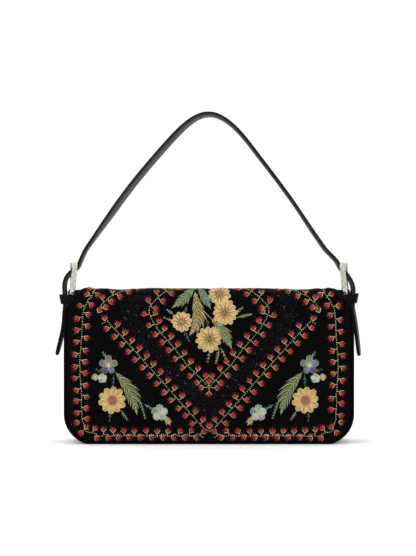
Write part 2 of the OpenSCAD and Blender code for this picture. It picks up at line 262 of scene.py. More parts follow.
def thick_sheet(name, points, normals, thickness, material, steps=5):
    """A closed sheet with round edges. points is the face towards normals, without the edge's roundness."""
    rows, cols = points.shape[:2]
    radius = thickness / 2
    face = numbers(rows, cols)
    loop = np.concatenate([face[0, :], face[1:, -1], face[-1, -2::-1], face[-2:0:-1, 0]])
    flat, normal = points.reshape(-1, 3), normals.reshape(-1, 3)
    middle = flat - normal * radius
    ring = middle[loop]
    out = unit(np.cross(np.roll(ring, -1, axis=0) - np.roll(ring, 1, axis=0), normal[loop]))
    if np.mean(np.sum(out * (ring - middle.mean(axis=0)), axis=1)) < 0:
        out = -out
    count = rows * cols
    blocks = [flat, middle - normal * radius]
    faces = [quads(face), quads(face + count)[:, ::-1]]
    rings = [loop]
    for step in range(1, steps):
        angle = math.pi * step / steps
        blocks.append(ring + out * radius * math.sin(angle) + normal[loop] * radius * math.cos(angle))
        rings.append(np.arange(len(loop)) + 2 * count + (step - 1) * len(loop))
    rings.append(loop + count)
    for near, far in zip(rings, rings[1:]):
        faces.append(np.stack([np.roll(near, -1), near, far, np.roll(far, -1)], -1))
    return outward(mesh_object(name, np.concatenate(blocks), faces, material))


def swept(name, points, material, closed=False, colours=None):
    """A surface round rings of points, (rings, points of a ring, 3), which close into a loop or have flat ends."""
    index = numbers(*points.shape[:2])
    index = np.concatenate([index, index[:, :1]], axis=1)
    if closed:
        faces = [quads(np.concatenate([index, index[:1]]))]
    else:
        faces = [quads(index), index[:1, :-1], index[-1:, -2::-1]]
    return outward(mesh_object(name, points, faces, material, colours))


def round_rect(low, high, half, radius, steps=3, first=0):
    """Outline from low to high and from -half to half, with rounded corners, from corner number first on."""
    points = []
    corners = [(high, half), (low, half), (low, -half), (high, -half)]
    for number in range(first, first + 4):
        along, across = corners[number % 4]
        cx = along - math.copysign(radius, along - (low + high) / 2)
        cy = across - math.copysign(radius, across)
        for angle in np.radians(90 * number + 90 * np.arange(steps + 1) / steps):
            points.append((cx + radius * math.cos(angle), cy + radius * math.sin(angle)))
    return points


def lengths(path):
    """How far along a path each of its points lies."""
    return np.concatenate([[0], np.cumsum(np.linalg.norm(np.diff(path, axis=0), axis=1))])


def along_path(at, away, path):
    return np.stack([np.interp(at, away, path[:, k]) for k in range(path.shape[1])], -1)


def spaced(path, pitch):
    """Points along a path at even steps."""
    path = np.asarray(path, float)
    away = lengths(path)
    count = max(2, int(round(away[-1] / pitch)) + 1)
    return along_path(np.linspace(0, away[-1], count), away, path)


def smoothed(path, rounds):
    path = np.array(path, float)
    for _ in range(rounds):
        path[1:-1] = (path[:-2] + 2 * path[1:-1] + path[2:]) / 4
    return path


def piece(made, body, slot, *nodes):
    """body is one body's name, which the piece is attached to, or two bodies with two places; for those the piece's
    transform is only baked into its mesh, and it is attached to neither.
    """
    if isinstance(body, str):
        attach(made, body)
    else:
        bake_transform(made)
    if nodes:
        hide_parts(*nodes)
    return made


def smooth_step(t):
    t = np.clip(t, 0, 1)
    return t * t * (3 - 2 * t)


def gauss(x, centre, width):
    return np.exp(-(((x - centre) / width) ** 2))


def spread(count):
    """Places from -1 to 1, a little closer at both ends."""
    even = np.linspace(-1, 1, count)
    return 0.55 * even + 0.45 * np.sin(even * math.pi / 2)


def rounded_low(wide, height, radius):
    """Half width of an outline with rounded lower corners, at a height above its bottom."""
    drop = np.clip(radius - height, 0, radius)
    return wide - radius + np.sqrt(np.maximum(radius**2 - drop**2, 0))


# ---------------------------------------------------------------- the flap
crown = 2.2
flap_columns = 121
panel_columns = 97
flap_r = 25.0
fold_len = fold_r * math.pi / 2
seam_s = fold_len + flap_y - fold_r + top_back
half_s = np.array([-200.0, -20.0, -12.0, -6.0, -1.0, 3.0, 7.0, 11.0, 16.0, 80.0])
half_x = np.array([flap_half, flap_half, 130.9, 130.0, 128.6, 127.0, 125.2, 123.8, 123.2, 122.6])
top_waves = [(-114.0, 2.0, 8.0), (-96.0, 1.1, 5.0), (-84.0, -0.9, 7.0), (-52.0, 0.5, 12.0),
             (114.0, 1.5, 9.0), (98.0, 0.6, 6.0), (85.0, -1.1, 7.0), (40.0, 0.4, 14.0)]


def flap_half_at(s):
    """Half width of the flap at path length s, measured up from where the front begins to fold over."""
    return rounded_low(np.interp(s, half_s, half_x), s + fold_z - flap_low, flap_r)


def over_fold(s, facing, depth):
    """Place (y, z) and outward direction (y, z) of a path up the front (-1) or back (1) and on over the top."""
    angle = np.clip(s / fold_r, 0, math.pi / 2)
    y = facing * (depth - fold_r + fold_r * np.cos(angle) - np.maximum(s - fold_len, 0))
    z = fold_z + fold_r * np.sin(angle) + np.minimum(s, 0)
    return y, z, facing * np.cos(angle), np.sin(angle)


def flap_base(s):
    return over_fold(s, -1, flap_y)


def flap_swell(x, s):
    """How far the cloth stands off its plain path."""
    z = fold_z + np.minimum(s, 0)
    rise = np.sin(np.pi * np.clip((z + 14) / 168, 0, 1)) ** 0.8
    body = crown * rise * np.clip(1 - (x / 136) ** 2, 0, 1) ** 0.7
    body = body * (1 - 0.55 * gauss(x, 0, 24) * gauss(z, snap_z, 22))
    folds = 0.45 * np.sin(x / 21 + 0.8) * np.sin(z / 29 + x / 90) + 0.3 * np.sin(x / 11 - z / 17)
    folds = folds + 0.5 * np.sin(z / 13 + 1.1) * gauss(np.abs(x), 126, 10)
    on_top = smooth_step((s - 4) / 12)
    wave = sum(h * gauss(x, c, w) for c, h, w in top_waves)
    fade = 1 - 0.75 * smooth_step((s - 16) / 22)
    side = np.maximum(flap_half_at(s) - np.abs(x), 0)
    low = np.maximum(fold_z + s - flap_low, 0)
    rolled = -1.3 * np.exp(-((np.minimum(side, low) / 4.0) ** 2))
    return body + folds * (1 - on_top) + wave * on_top * fade + rolled


def lining_swell(x, s):
    """The flap's lining, 1.9 mm inside the velvet and drawn flat where the snap holds it."""
    swell = flap_swell(x, s)
    return swell + (-1.9 - gauss(x, 0, 14) * gauss(fold_z + s, snap_z, 14) * swell)


def on_path(base, x, s, off):
    y, z, ny, nz = base(s)
    return np.stack([x, y + ny * off, z + nz * off], -1), np.stack([np.zeros_like(ny), ny, nz], -1)


def flap_point(x, s, lift=0.0):
    return on_path(flap_base, x, s, flap_swell(x, s) + lift)[0]


def sheet_on(name, rows, half, columns, base, swell, thickness, material, steps=5):
    """A sheet on a path: half is its half width at each of rows, base the path and swell how far it stands off."""
    x = spread(columns)[None, :] * half[:, None]
    s = np.repeat(rows[:, None], columns, axis=1)
    return thick_sheet(name, *on_path(base, x, s, swell(x, s)), thickness, material, steps)


def flap_sheet(name, inset, short, swell, thickness, material, steps):
    top = seam_s - short
    corner = flap_low - fold_z + inset + (flap_r - inset) * (1 - np.cos(np.linspace(0, math.pi / 2, 12)))
    rows = np.concatenate([corner, np.arange(corner[-1] + 2.6, -0.4, 2.6), np.arange(0, top, 1.6), [top]])
    half = flap_half_at(np.maximum(rows - inset, -fold_z + flap_low)) - inset
    return sheet_on(name, rows, half, flap_columns, flap_base, swell, thickness, material, steps)


fold_start = (0, -17.6 * MM, bag_h * MM)
fold_end = (0, -27.6 * MM, (fold_z - 15) * MM)
flap_bodies = ("flap_top", "flap_front", fold_start, fold_end)
flap_cover = flap_sheet("flap_velvet", 1.3, 0.9, flap_swell, 2.2, velvet, 5)
piece(flap_cover, flap_bodies, "velvet", "flap_top_cover", "flap_front_cover")
flap_back = flap_sheet("flap_lining_cloth", 4.2, 3.5, lining_swell, 1.1, satin, 4)
piece(flap_back, flap_bodies, "lining_cloth", "flap_top_lining", "flap_front_lining")


# ---------------------------------------------------------------- the shell: back, front, gussets and base
edge_z = np.array([0.0, 106.0, 114.0, 120.0, 126.0, 130.0, 134.5, 140.0])
edge_x = np.array([135.0, 135.0, 134.7, 134.2, 133.6, 132.0, 127.8, 124.6])


def side_half(z):
    """Half width of the soft shell's outline, which stays wide up to the keepers and then turns in to the top."""
    return np.interp(z, edge_z, edge_x)


def pleat_in(y, z):
    """How far a gusset's pleat goes in from that outline."""
    flat = pleat_flat + 3.8 * smooth_step((z - 92) / 18) + 3.6 * smooth_step((z - 112) / 14)
    away = np.clip((np.abs(y) - flat) / (inner_d + 0.4 - flat), 0, 1)
    half = bag_w / 2 - neck_in * smooth_step((z - pleat_z + pleat_h) / pleat_h)
    return np.cos(away * math.pi / 2) ** 2 * np.maximum(0, side_half(z) - half)


def back_base(q):
    """The back's path: q is 0 where the back meets its top fold, and rises to the top."""
    return over_fold(q, 1, half_d)


def front_base(q):
    return np.full_like(q, -half_d), fold_z + q, -np.ones_like(q), np.zeros_like(q)


def back_swell(x, q):
    z = fold_z + np.minimum(q, 0)
    rise = np.sin(np.pi * np.clip((z + 8) / 165, 0, 1)) ** 0.8
    body = 1.6 * rise * np.clip(1 - (x / 138) ** 2, 0, 1) ** 0.7
    folds = 0.4 * np.sin(x / 24 - 0.6) * np.sin(z / 31 - x / 80) + 0.25 * np.sin(x / 12 + z / 19)
    on_top = smooth_step((q - 2) / 12)
    wave = 0.25 * sum(h * gauss(x, c, w) for c, h, w in top_waves)
    return (body + folds) * (1 - on_top) + wave * on_top


def front_swell(x, q):
    return 0.35 * np.sin(x / 24 + 0.4) * np.sin((fold_z + q) / 26) - 0.5


panel_inset = 1.2
corner_rows = (corner_r - panel_inset) * (1 - np.cos(np.linspace(0, math.pi / 2, 12))) - fold_z + panel_inset


def panel(name, straight_to, upper_rows, base, swell):
    rows = np.concatenate([corner_rows, np.arange(corner_rows[-1] + 3, straight_to, 3.0), upper_rows])
    z = fold_z + np.minimum(rows, 0)
    half = rounded_low(side_half(z), z, corner_r) - panel_inset
    return sheet_on(name, rows, half, panel_columns, base, swell, panel_t, velvet)


back_cloth = panel("back_velvet", -0.5, [*np.arange(0, fold_len, 1.6), fold_len], back_base, back_swell)
back_bodies = ("bag", "flap_top", (0, 24 * MM, (fold_z - 4) * MM), (0, 15 * MM, bag_h * MM))
piece(back_cloth, back_bodies, "velvet", "back_panel")
front_cloth = panel("front_velvet", 0.2, [panel_top - fold_z - panel_inset], front_base, front_swell)
piece(front_cloth, "bag", "velvet", "front_panel")


def outline_path(step=2.4):
    """The panels' outline from the left top round the bottom to the right top, with its outward direction."""
    z = np.arange(panel_top, corner_r, -step)
    angle = np.linspace(math.pi / 2, 0, 14)
    corner = [-corner_x - corner_r * np.sin(angle), corner_r * (1 - np.cos(angle))]
    x = np.arange(-corner_x + step, 0, step)
    half = np.concatenate([np.stack(pair, -1) for pair in ([-side_half(z), z], corner, [x, np.zeros_like(x)])])
    whole = np.concatenate([half, [[0.0, 0.0]], half[::-1] * [-1, 1]])
    along = unit(np.gradient(whole, axis=0))
    out = np.stack([along[:, 1], -along[:, 0]], -1)
    return whole, out if out[0, 0] < 0 else -out


corner_x = bag_w / 2 - corner_r
outline, outline_out = outline_path()
strip_y = np.linspace(-inner_d - 1.0, inner_d + 1.0, 41)


def gusset_swell(y, z):
    """How far a gusset's cloth stands out from its plain outline, with its soft folds."""
    rise = smooth_step((z - 8) / 40)
    share = np.clip(1 - (y / inner_d) ** 2, 0, 1)
    swell = 1.1 * share * (1 - smooth_step((z - 95) / 30)) * rise + 0.1
    folds = rise * share * (0.5 * np.sin(z / 8.5 + y / 9) + 0.35 * np.sin(z / 5.1 - y / 6))
    return swell + folds * (1 - 0.7 * smooth_step((z - 112) / 12))


def strip(name, index, thickness, material, depth=None, inset=0.0, rise=0.0, share=1.0, steps=5):
    """The part of the shell's sides and floor that index gives, or of a layer inside it, which lies inset from the
    sides and rise above the floor. depth gives the layer's y, and share is how far out its own pleat is read."""
    out = outline_out[index]
    x, z = (np.repeat(outline[index, k:k + 1], len(strip_y), axis=1) for k in (0, 1))
    y = np.repeat(strip_y[None, :], len(out), axis=0) if depth is None else depth(x, z)
    swell = gusset_swell(y, z)
    inner_x = x + out[:, 0:1] * (swell - inset) - np.sign(x + 1e-6) * pleat_in(share * y, z)
    inner_z = z + out[:, 1:2] * (np.minimum(swell, 0) - rise)
    if depth is not None:
        inner_z = inner_z + 0.2 * (1 + np.sin(x / 17 + 1.3) * np.sin(y / 8)) * (out[:, 1:2] < -0.9)
    normals = np.repeat(upright(*out.T)[:, None, :], len(strip_y), axis=1)
    return thick_sheet(name, np.stack([inner_x, y, inner_z], -1), normals, thickness, material, steps)


for name, index, node_name in (
    ("gusset_velvet_left", outline[:, 0] <= -corner_x + 0.01, "gusset_left"),
    ("gusset_velvet_right", outline[:, 0] >= corner_x - 0.01, "gusset_right"),
    ("base_velvet", np.abs(outline[:, 0]) <= corner_x + 0.01, "base_panel"),
):
    piece(strip(name, index, 1.6, velvet), "bag", "velvet", node_name)

# Welts, round cords under the velvet where the panels meet the gussets
welt_r = 1.5
welt_sides = 10
for name, y, top in (("welt_front", -half_d + 0.9, 130.0), ("welt_back", half_d - 1.2, 133.0)):
    path = outline - outline_out * (welt_r - 0.9)
    path = upright(*path[path[:, 1] <= top].T) + [0, y, 0]
    across = np.array([0.0, 1.0, 0.0])
    inward = np.cross(unit(np.gradient(path, axis=0)), across)[:, None, :]
    angle = np.arange(welt_sides)[None, :, None] * 2 * math.pi / welt_sides
    section = np.cos(angle) * across * welt_r + np.sin(angle) * inward * welt_r
    piece(swept(name, path[:, None, :] + section, velvet), "bag", "velvet")


# ---------------------------------------------------------------- the strap
strap_w = 18.0
strap_outer_t = 1.8
strap_lining_t = 1.6
apex_z = 310.8
arch_z = 169.56
arch_round = 0.25
strap_in_x = 122.73
strap_out_x = 136.2
tail_z = 128.4
arm_top = (122.8, 167.2)
arm = {
    -1: [arm_top, (124.5, 164.6), (127.6, 162.8), (130.8, 161.0), (133.6, 158.2), (135.8, 154.6), (137.0, 150.4)],
    1: [arm_top, (124.3, 164.4), (126.8, 162.2), (129.6, 159.8), (132.2, 156.6), (134.6, 152.8), (136.2, 148.8)],
}


def arch_drop(u):
    rise = math.sqrt(1 + arch_round**2) - arch_round
    return (np.sqrt(u**2 + arch_round**2) - arch_round) / rise


def arm_path(side):
    """One arm of the strap: from the top of the arch, round the buckle's top bar and down through the keeper."""
    u = np.sin(np.linspace(0, math.pi / 2, 44)) * 0.55 + np.linspace(0, 1, 44) * 0.45
    arch = [(v * strap_in_x, apex_z - (apex_z - arch_z) * arch_drop(v)) for v in u]
    low = [(137.0, 144.6), (136.6, 139.5), (strap_out_x, 134.0), (strap_out_x, tail_z)]
    points = np.array(arch + arm[side] + low)
    steps = []
    for a, b in zip(points, points[1:]):
        count = max(1, int(np.linalg.norm(b - a) / 1.5))
        steps += [a + (b - a) * k / count for k in range(count)]
    return np.array(steps + [points[-1]])


def turned_pair(first, second, angle):
    """Two directions turned by an angle at each place, in the plane they span."""
    c, s = np.cos(angle)[:, None], np.sin(angle)[:, None]
    return first * c + second * s, -first * s + second * c


strap_xz = np.concatenate([arm_path(-1)[::-1] * [-1, 1], arm_path(1)[1:]])
x, z = strap_xz.T
on_arm = smooth_step((z - 168) / 16)
lean = 2.0 + 1.6 * smooth_step((235 - z) / 45)
sag = -2.9 * smooth_step((292 - z) / 60) * on_arm * (x < 0) - lean * smooth_step((302 - z) / 36) * on_arm * (x >= 0)
strap_xz[:, 0] += sag
strap_xz = smoothed(strap_xz, 3)
tangent = unit(np.gradient(strap_xz, axis=0))
strap_p = upright(*strap_xz.T)
strap_n = upright(-tangent[:, 1], tangent[:, 0])
strap_b = np.repeat([[0.0, 1.0, 0.0]], len(strap_n), axis=0)
free = smooth_step((strap_p[:, 2] - 180) / 45)
twist = np.radians(8.5) * free * smooth_step((20 - strap_p[:, 0]) / 60)
twist = twist - np.radians(2.0) * free * smooth_step(strap_p[:, 0] / 60)
strap_n, strap_b = turned_pair(strap_n, strap_b, twist)

for name, low, high, narrower, corner, material, slot, node_name in (
    ("strap_outer_leather", 0.02, strap_outer_t, 0, 0.75, strap_leather, "strap_leather", "strap_outer"),
    ("strap_lining_leather", -strap_lining_t, -0.02, 0.15, 0.65, strap_back_leather, "strap_back", "strap_lining"),
):
    section = np.array(round_rect(low, high, strap_w / 2 - narrower, corner))
    points = strap_p[:, None, :] + section[:, 0:1] * strap_n[:, None, :] + section[:, 1:2] * strap_b[:, None, :]
    piece(swept(name, points, material), "handle", slot, node_name)


# ---------------------------------------------------------------- light and floor
for name, place, target_z, size, power in (
    ("key", (-0.75, -1.15, 1.05), 0.12, (0.8, 0.8), 6.0),
    ("fill", (0.95, -1.2, 0.5), 0.12, (0.9, 0.9), 2.0),
    ("top", (0.0, 0.1, 1.3), 0.1, (1.0, 0.6), 3.0),
):
    data = bpy.data.lights.new(name, "AREA")
    data.shape = "RECTANGLE"
    data.size, data.size_y = size
    data.energy = power
    made = bpy.data.objects.new(name, data)
    made.location = place
    made.rotation_euler = (Vector((0, 0, target_z)) - Vector(place)).to_track_quat("-Z", "Y").to_euler()
    scene.collection.objects.link(made)

world = bpy.data.worlds.new("studio")
world.use_nodes = True
background = next(n for n in world.node_tree.nodes if n.type == "BACKGROUND")
background.inputs["Color"].default_value = (1.0, 1.0, 1.0, 1)
background.inputs["Strength"].default_value = 1.05
scene.world = world

reach = 30.0
floor_mesh = bpy.data.meshes.new("floor")
floor_corners = [(-reach, -reach, 0), (reach, -reach, 0), (reach, reach, 0), (-reach, reach, 0)]
floor_mesh.from_pydata(floor_corners, [], [(0, 1, 2, 3)])
floor = bpy.data.objects.new("floor", floor_mesh)
scene.collection.objects.link(floor)
floor_material, floor_tree, floor_shader = new_material("floor_paper")
fill(floor_tree, floor_shader, {"Base Color": (1.0, 1.0, 1.0, 1), "Roughness": 1.0, "Specular IOR Level": 0.0})
floor_mesh.materials.append(floor_material)


# ---------------------------------------------------------------- buckles, tabs, keepers and tails
bar_x = 130.0
bar_z = 141.2
buckle_l = 26.5
buckle_lean = math.radians(6.0)
buckle_turn = {-1: math.radians(-5.0), 1: math.radians(8.0)}
# Painted shade on each buckle's near band, stronger on the right buckle, which is turned further from the light: how
# much its red, green and blue are darkened.
near_band_painted_shade = {-1: np.array([0.06, 0.06, 0.08]), 1: np.array([0.12, 0.13, 0.2])}
rivet_z = 126.7
tab_x = 125.7
tab_t = 1.8
tab_r = 3.4
keeper_x = 124.5
keeper_mid_x = 134.5
keeper_w = 15.9
keeper_depth = 21.6
keeper_t = 1.1
keeper_low = 129.1
keeper_high = 138.5
keeper_slope = {-1: 0.12, 1: 0.22}
keeper_lift = {-1: 0.8, 1: 1.3}
tail_t = 2.8
tail_turn = {-1: math.radians(1.0), 1: math.radians(-11.0)}
tail_lines = {
    -1: [(136.3, 128.9), (136.9, 124.3), (137.4, 114.9), (138.7, 105.4), (140.9, 95.9), (143.3, 86.3), (144.4, 82.0)],
    1: [(136.3, 128.9), (137.8, 120.0), (139.6, 109.2), (141.1, 95.9), (142.3, 85.5), (142.8, 81.2)],
}


def turned(points, side):
    """Turns a buckle and the top of its tab a little about the upright, as they hang in the photograph."""
    angle = buckle_turn[side] * smooth_step((points[..., 2] - rivet_z - 1) / 12)
    x, y, z = points[..., 0] - side * bar_x, points[..., 1], points[..., 2]
    c, s = np.cos(angle), np.sin(angle)
    return np.stack([side * bar_x + x * c + y * s, y * c - x * s, z], -1)


def soft_panel(name, points, thickness, dropped=None):
    """A leather panel round a grid of middle points, with rounded edges. dropped marks the faces left out."""
    faces = quads(numbers(*points.shape[:2]))
    faces = faces if dropped is None else faces[~dropped.ravel()]
    used, index = np.unique(faces, return_inverse=True)
    made = mesh_object(name, points.reshape(-1, 3)[used], [index.reshape(faces.shape)], tab_leather)
    solid = made.modifiers.new("solid", "SOLIDIFY")
    solid.thickness = thickness * MM
    solid.offset = 0.0
    solid.use_even_offset = True
    made.modifiers.new("smooth", "SUBSURF").levels = 1
    bpy.context.view_layer.update()
    final = bpy.data.meshes.new_from_object(made.evaluated_get(bpy.context.evaluated_depsgraph_get()))
    made.modifiers.clear()
    made.data = final
    return outward(made)


def ring_out(line):
    """Outward directions of a closed line of points in its own plane."""
    along = unit(np.roll(line, -1, axis=0) - np.roll(line, 1, axis=0))
    return np.stack([along[:, 1], -along[:, 0]], -1)


def engraved(across, around, face):
    """Depth of the worn scroll pattern at points of the buckle: across it, along it and on which of its faces."""
    depth = np.zeros_like(across)
    scroll = 2.9
    row = np.floor(around / scroll)
    for shift in (-1, 0, 1):
        centre = (row + shift + 0.5) * scroll
        side = np.where((row + shift) % 2 > 0.5, 0.75, -0.75)
        away = np.hypot(across - side, (around - centre) * 0.9)
        depth = np.maximum(depth, gauss(away, 0.95, 0.3) + 0.9 * gauss(away, 0, 0.33))
    depth = depth * np.clip((2.15 - np.abs(across)) / 0.3, 0, 1)
    return np.maximum(depth, gauss(np.abs(across), 1.95, 0.16) * 0.6) * face


def buckle_mesh(name, side):
    """The frame swept along its middle line, with the scroll pattern cut into its outer faces."""
    pitch = 0.22
    line = round_rect(-12.15, 12.15, buckle_l / 2, 2.6, 8, -1)
    line = spaced(np.array(line + line[:1]) + [0, buckle_l / 2], pitch)[:-1]
    half = 2.4
    section = round_rect(-half, half, half, 0.9)
    outer = [(v, half) for v in np.linspace(1.3, -1.3, 15)]
    left, right = ([(way * half, -way * v) for v in np.linspace(1.2, -1.2, 5)] for way in (-1, 1))
    section = np.array(section[:4] + outer + section[4:8] + left + section[8:] + right)
    across, radial = np.repeat(section.T[:, None, :], len(line), axis=1)
    on_sides = smooth_step((line[:, 1:2] - 1.5) / 3)
    face = np.clip((radial - 1.6) / 0.7, 0, 1) * on_sides
    depth = engraved(across, np.arange(len(line))[:, None] * pitch * np.ones_like(across), face)
    x = across * (1 + on_sides * (0.17 - 0.2 * line[:, 1:2] / buckle_l))
    y, z = (line[:, k:k + 1] + ring_out(line)[:, k:k + 1] * (radial - 0.14 * depth) for k in (0, 1))
    lean_x = x * math.cos(buckle_lean) - z * math.sin(buckle_lean)
    lean_z = x * math.sin(buckle_lean) + z * math.cos(buckle_lean)
    points = turned(np.stack([side * (bar_x + lean_x), y, bar_z + lean_z], -1), side)
    # The upper part of the near band is painted darker and a little greener: painted shade.
    near = smooth_step((-points[..., 1] - 6) / 4) * smooth_step((points[..., 2] - bar_z - 2) / 3)
    colours = (1 - 0.5 * np.clip(depth, 0, 1))[..., None] * (1 - near[..., None] * near_band_painted_shade[side])
    return swept(name, points, silver, True, colours)


def tab_mesh(name, side):
    in_x = tab_x + tab_t / 2
    out_x = in_x + tab_t + 0.1
    low = 8.9
    arc = [(bar_x + tab_r * math.cos(a), bar_z + tab_r * math.sin(a)) for a in np.radians(np.arange(180, -1, -10))]
    top_x = bar_x + tab_r
    down = [(top_x + (out_x - bar_x - tab_r) * float(smooth_step(t)), bar_z - 8 * t) for t in np.arange(1, 7) / 6]
    path = [(in_x, rivet_z - low), (in_x, bar_z - 0.5)] + arc + down + [(out_x, rivet_z - low)]
    path = smoothed(spaced(path, 1.0), 1)
    drop = np.clip(rivet_z - path[:, 1], 0, low)
    half = np.sqrt(np.maximum(9.0**2 - drop**2, 0)) - 0.1
    share = np.array([-1, -0.93, -0.8, -0.6, -0.4, -0.19, 0.19, 0.4, 0.6, 0.8, 0.93, 1])
    y = half[:, None] * share[None, :]
    x, z = np.repeat((path * [side, 1]).T[:, :, None], len(share), axis=2)
    points = turned(np.stack([x, y, z], -1), side)
    dropped = np.zeros((len(path) - 1, len(share) - 1), bool)
    middle = (path[1:] + path[:-1]) / 2
    near_bar = np.hypot(middle[:, 0] - bar_x, middle[:, 1] - bar_z) < tab_r + 0.5
    dropped[:, 5] = near_bar & (middle[:, 1] > bar_z - 4.2)
    return soft_panel(name, points, tab_t - 0.1, dropped)


def keeper_mesh(name, side):
    """A loose band of leather, whose outer end stands a little higher and leans out."""
    edge = keeper_t / 2
    loop = round_rect(keeper_x + edge, keeper_x + keeper_w - edge, keeper_depth / 2 - edge, 2.4, 6)
    loop = spaced(loop + loop[:1], 0.9)[:-1]
    off, up = np.array(round_rect(-edge, edge, (keeper_high - keeper_low) / 2 - 0.1, 0.45)).T
    off = off + 0.35 * np.cos(up / 4.7 * math.pi / 2)
    x, y = (loop[:, k:k + 1] + ring_out(loop)[:, k:k + 1] * off for k in (0, 1))
    middle_z = (keeper_low + keeper_high) / 2
    z = middle_z + keeper_lift[side] + up[None, :] + keeper_slope[side] * (x - keeper_mid_x)
    x = x + smooth_step((loop[:, 0:1] - 131) / 9) * (0.45 + 0.2 * up[None, :])
    return swept(name, np.stack([side * x, y, z], -1), tab_leather, True)


def tail_frame(side):
    """Middle line of a strap tail, its outward and sideways directions, and how far along each point lies."""
    path = smoothed(spaced(tail_lines[side], 1.1), 6)
    along = unit(np.gradient(path, axis=0))
    depth = np.repeat([[0.0, 1.0, 0.0]], len(path), axis=0)
    turn_here = tail_turn[side] * smooth_step((132 - path[:, 1]) / 5)
    normal, across = turned_pair(upright(-along[:, 1], along[:, 0]), depth, turn_here)
    return upright(*path.T), normal, across, lengths(path)


def tail_mesh(name, side):
    spine, _, across, away = tail_frame(side)
    tip = 9.0
    left = away[-1] - away
    half = np.where(left > tip, tip, tip * np.sqrt(np.maximum(1 - (1 - left / tip) ** 2, 0.05)))
    share = np.array([-1, -0.93, -0.8, -0.5, -0.2, 0.2, 0.5, 0.8, 0.93, 1])
    points = spine[:, None, :] + across[:, None, :] * (half[:, None] * share[None, :])[:, :, None]
    return soft_panel(name, points * [side, 1, 1], tail_t)


def stitch_row(name, path, normals, length=2.3, pitch=3.1, size=0.2):
    """A run of short raised stitches along a line of points that lies on a surface."""
    away = lengths(path)
    starts = np.arange(0.8, away[-1] - length, pitch)
    t = np.linspace(0, 1, 6)
    at = starts[:, None] + length * t[None, :]
    line, up = along_path(at, away, path), unit(along_path(at, away, normals))
    side = np.cross(unit(np.gradient(line, axis=1)), up)
    line = line + up * (size * 0.7 * np.sin(math.pi * t) - 0.1)[None, :, None]
    angle = np.arange(6)[:, None] * math.pi / 3
    points = line[:, :, None, :] + (np.cos(angle) * up[:, :, None, :] + np.sin(angle) * side[:, :, None, :]) * size
    index = numbers(*points.shape[:3])
    return mesh_object(name, points, [quads(np.concatenate([index, index[:, :, :1]], axis=2))], black_thread)


for side, word in ((-1, "left"), (1, "right")):
    piece(buckle_mesh("buckle_frame_" + word, side), "handle", "buckle_metal", "buckle_" + word)
    piece(tab_mesh("tab_leather_" + word, side), "handle", "strap_leather", "tab_" + word)
    piece(keeper_mesh("keeper_band_" + word, side), "handle", "strap_leather", "keeper_" + word)
    piece(tail_mesh("tail_leather_" + word, side), "tail_" + word, "strap_leather", "strap_tail_" + word)
    spine, normal, across, away = tail_frame(side)
    keep = away < away[-1] - 5
    for edge_word, edge in (("near", -7.4), ("far", 7.4)):
        line = (spine + normal * (tail_t / 2) + across * edge)[keep] * [side, 1, 1]
        made = stitch_row(f"tail_stitch_{word}_{edge_word}", line, normal[keep] * [side, 1, 1])
        piece(made, "tail_" + word, "strap_leather")

middle = len(strap_p) // 2
for edge_word, edge in (("near", -7.3), ("far", 7.3)):
    for word, part in (("left", slice(14, middle)), ("right", slice(middle, -14))):
        line = (strap_p + strap_n * strap_outer_t + strap_b * edge)[part]
        piece(stitch_row(f"strap_stitch_{word}_{edge_word}", line, strap_n[part]), "handle", "strap_leather")


# ---------------------------------------------------------------- the inside
lining_side = 2.4
lining_rise = 4.7
lining_thick = 0.9
facing_thick = 0.8
layer_gap = 0.2


def inside_wall(facing, x, z, deep):
    """y of the front (-1) or back (1) inside the shell, a layer's depth away from the panel."""
    swell = back_swell if facing > 0 else front_swell
    return facing * (half_d + swell(x, z - fold_z) - panel_t - deep)


def layer(name, side, inset, deep, thickness, material, low=0.0):
    """One side of a layer inside the shell, from low up to the mouth: front (-1) or back (1), or a strip (index)."""
    edge = thickness / 2
    if not isinstance(side, int):
        def depth(x, z):
            front, back = (inside_wall(way, x, z, deep + edge) for way in (-1, 1))
            return (front + back) / 2 + (back - front) / 2 * (strip_y / strip_y[-1])

        return strip(name, side, thickness, material, depth, inset, lining_rise, 0.93, 3)
    corner = lining_rise + edge + (corner_r - lining_rise - edge) * (1 - np.cos(np.linspace(0, math.pi / 2, 12)))
    start, corner = (corner_r + 2.4, corner) if low < corner_r else (low + edge, [])
    z = np.concatenate([corner, np.arange(start, panel_top - edge, 2.4), [panel_top - edge]])
    drop = np.clip((corner_r - (z - edge)) / (corner_r - lining_rise), 0, 1)
    half = side_half(z - edge) - corner_r + (corner_r - inset) * np.sqrt(1 - drop**2) - edge
    x = spread(panel_columns)[None, :] * half[:, None]
    z = np.repeat(z[:, None], panel_columns, axis=1)
    folds = 0.25 * np.sin(x / 9 + z / 40) * np.sin(z / 22 + 0.4) * smooth_step((panel_top - z) / 30)
    y = inside_wall(side, x, z, deep) - side * (0.25 + folds)
    return thick_sheet(name, np.stack([x, y, z], -1), np.full(x.shape + (3,), [0.0, side, 0.0]), thickness, material, 3)


def joined(*made):
    """One object made of several, under the first one's name."""
    with bpy.context.temp_override(active_object=made[0], selected_editable_objects=made):
        bpy.ops.object.join()
    return made[0]


lining_sizes = (lining_side, layer_gap, lining_thick, satin)
lining_cloth = joined(
    layer("lining_satin", np.arange(len(outline)), *lining_sizes),
    layer("lining_front", -1, *lining_sizes),
    layer("lining_back", 1, *lining_sizes),
)
piece(lining_cloth, "bag", "lining_cloth", "lining")

facing_low = panel_top - 15.0
facing_side = lining_side + lining_thick + layer_gap
facing_sizes = (facing_side, 2 * layer_gap + lining_thick + 0.25, facing_thick, facing_cloth, facing_low)
facing_band = joined(
    layer("mouth_band", (outline[:, 0] < 0) & (outline[:, 1] > facing_low), *facing_sizes),
    layer("mouth_band_right", (outline[:, 0] > 0) & (outline[:, 1] > facing_low), *facing_sizes),
    layer("mouth_band_front", -1, *facing_sizes),
    layer("mouth_band_back", 1, *facing_sizes),
)
piece(facing_band, "bag", "facing_band", "mouth_facing")

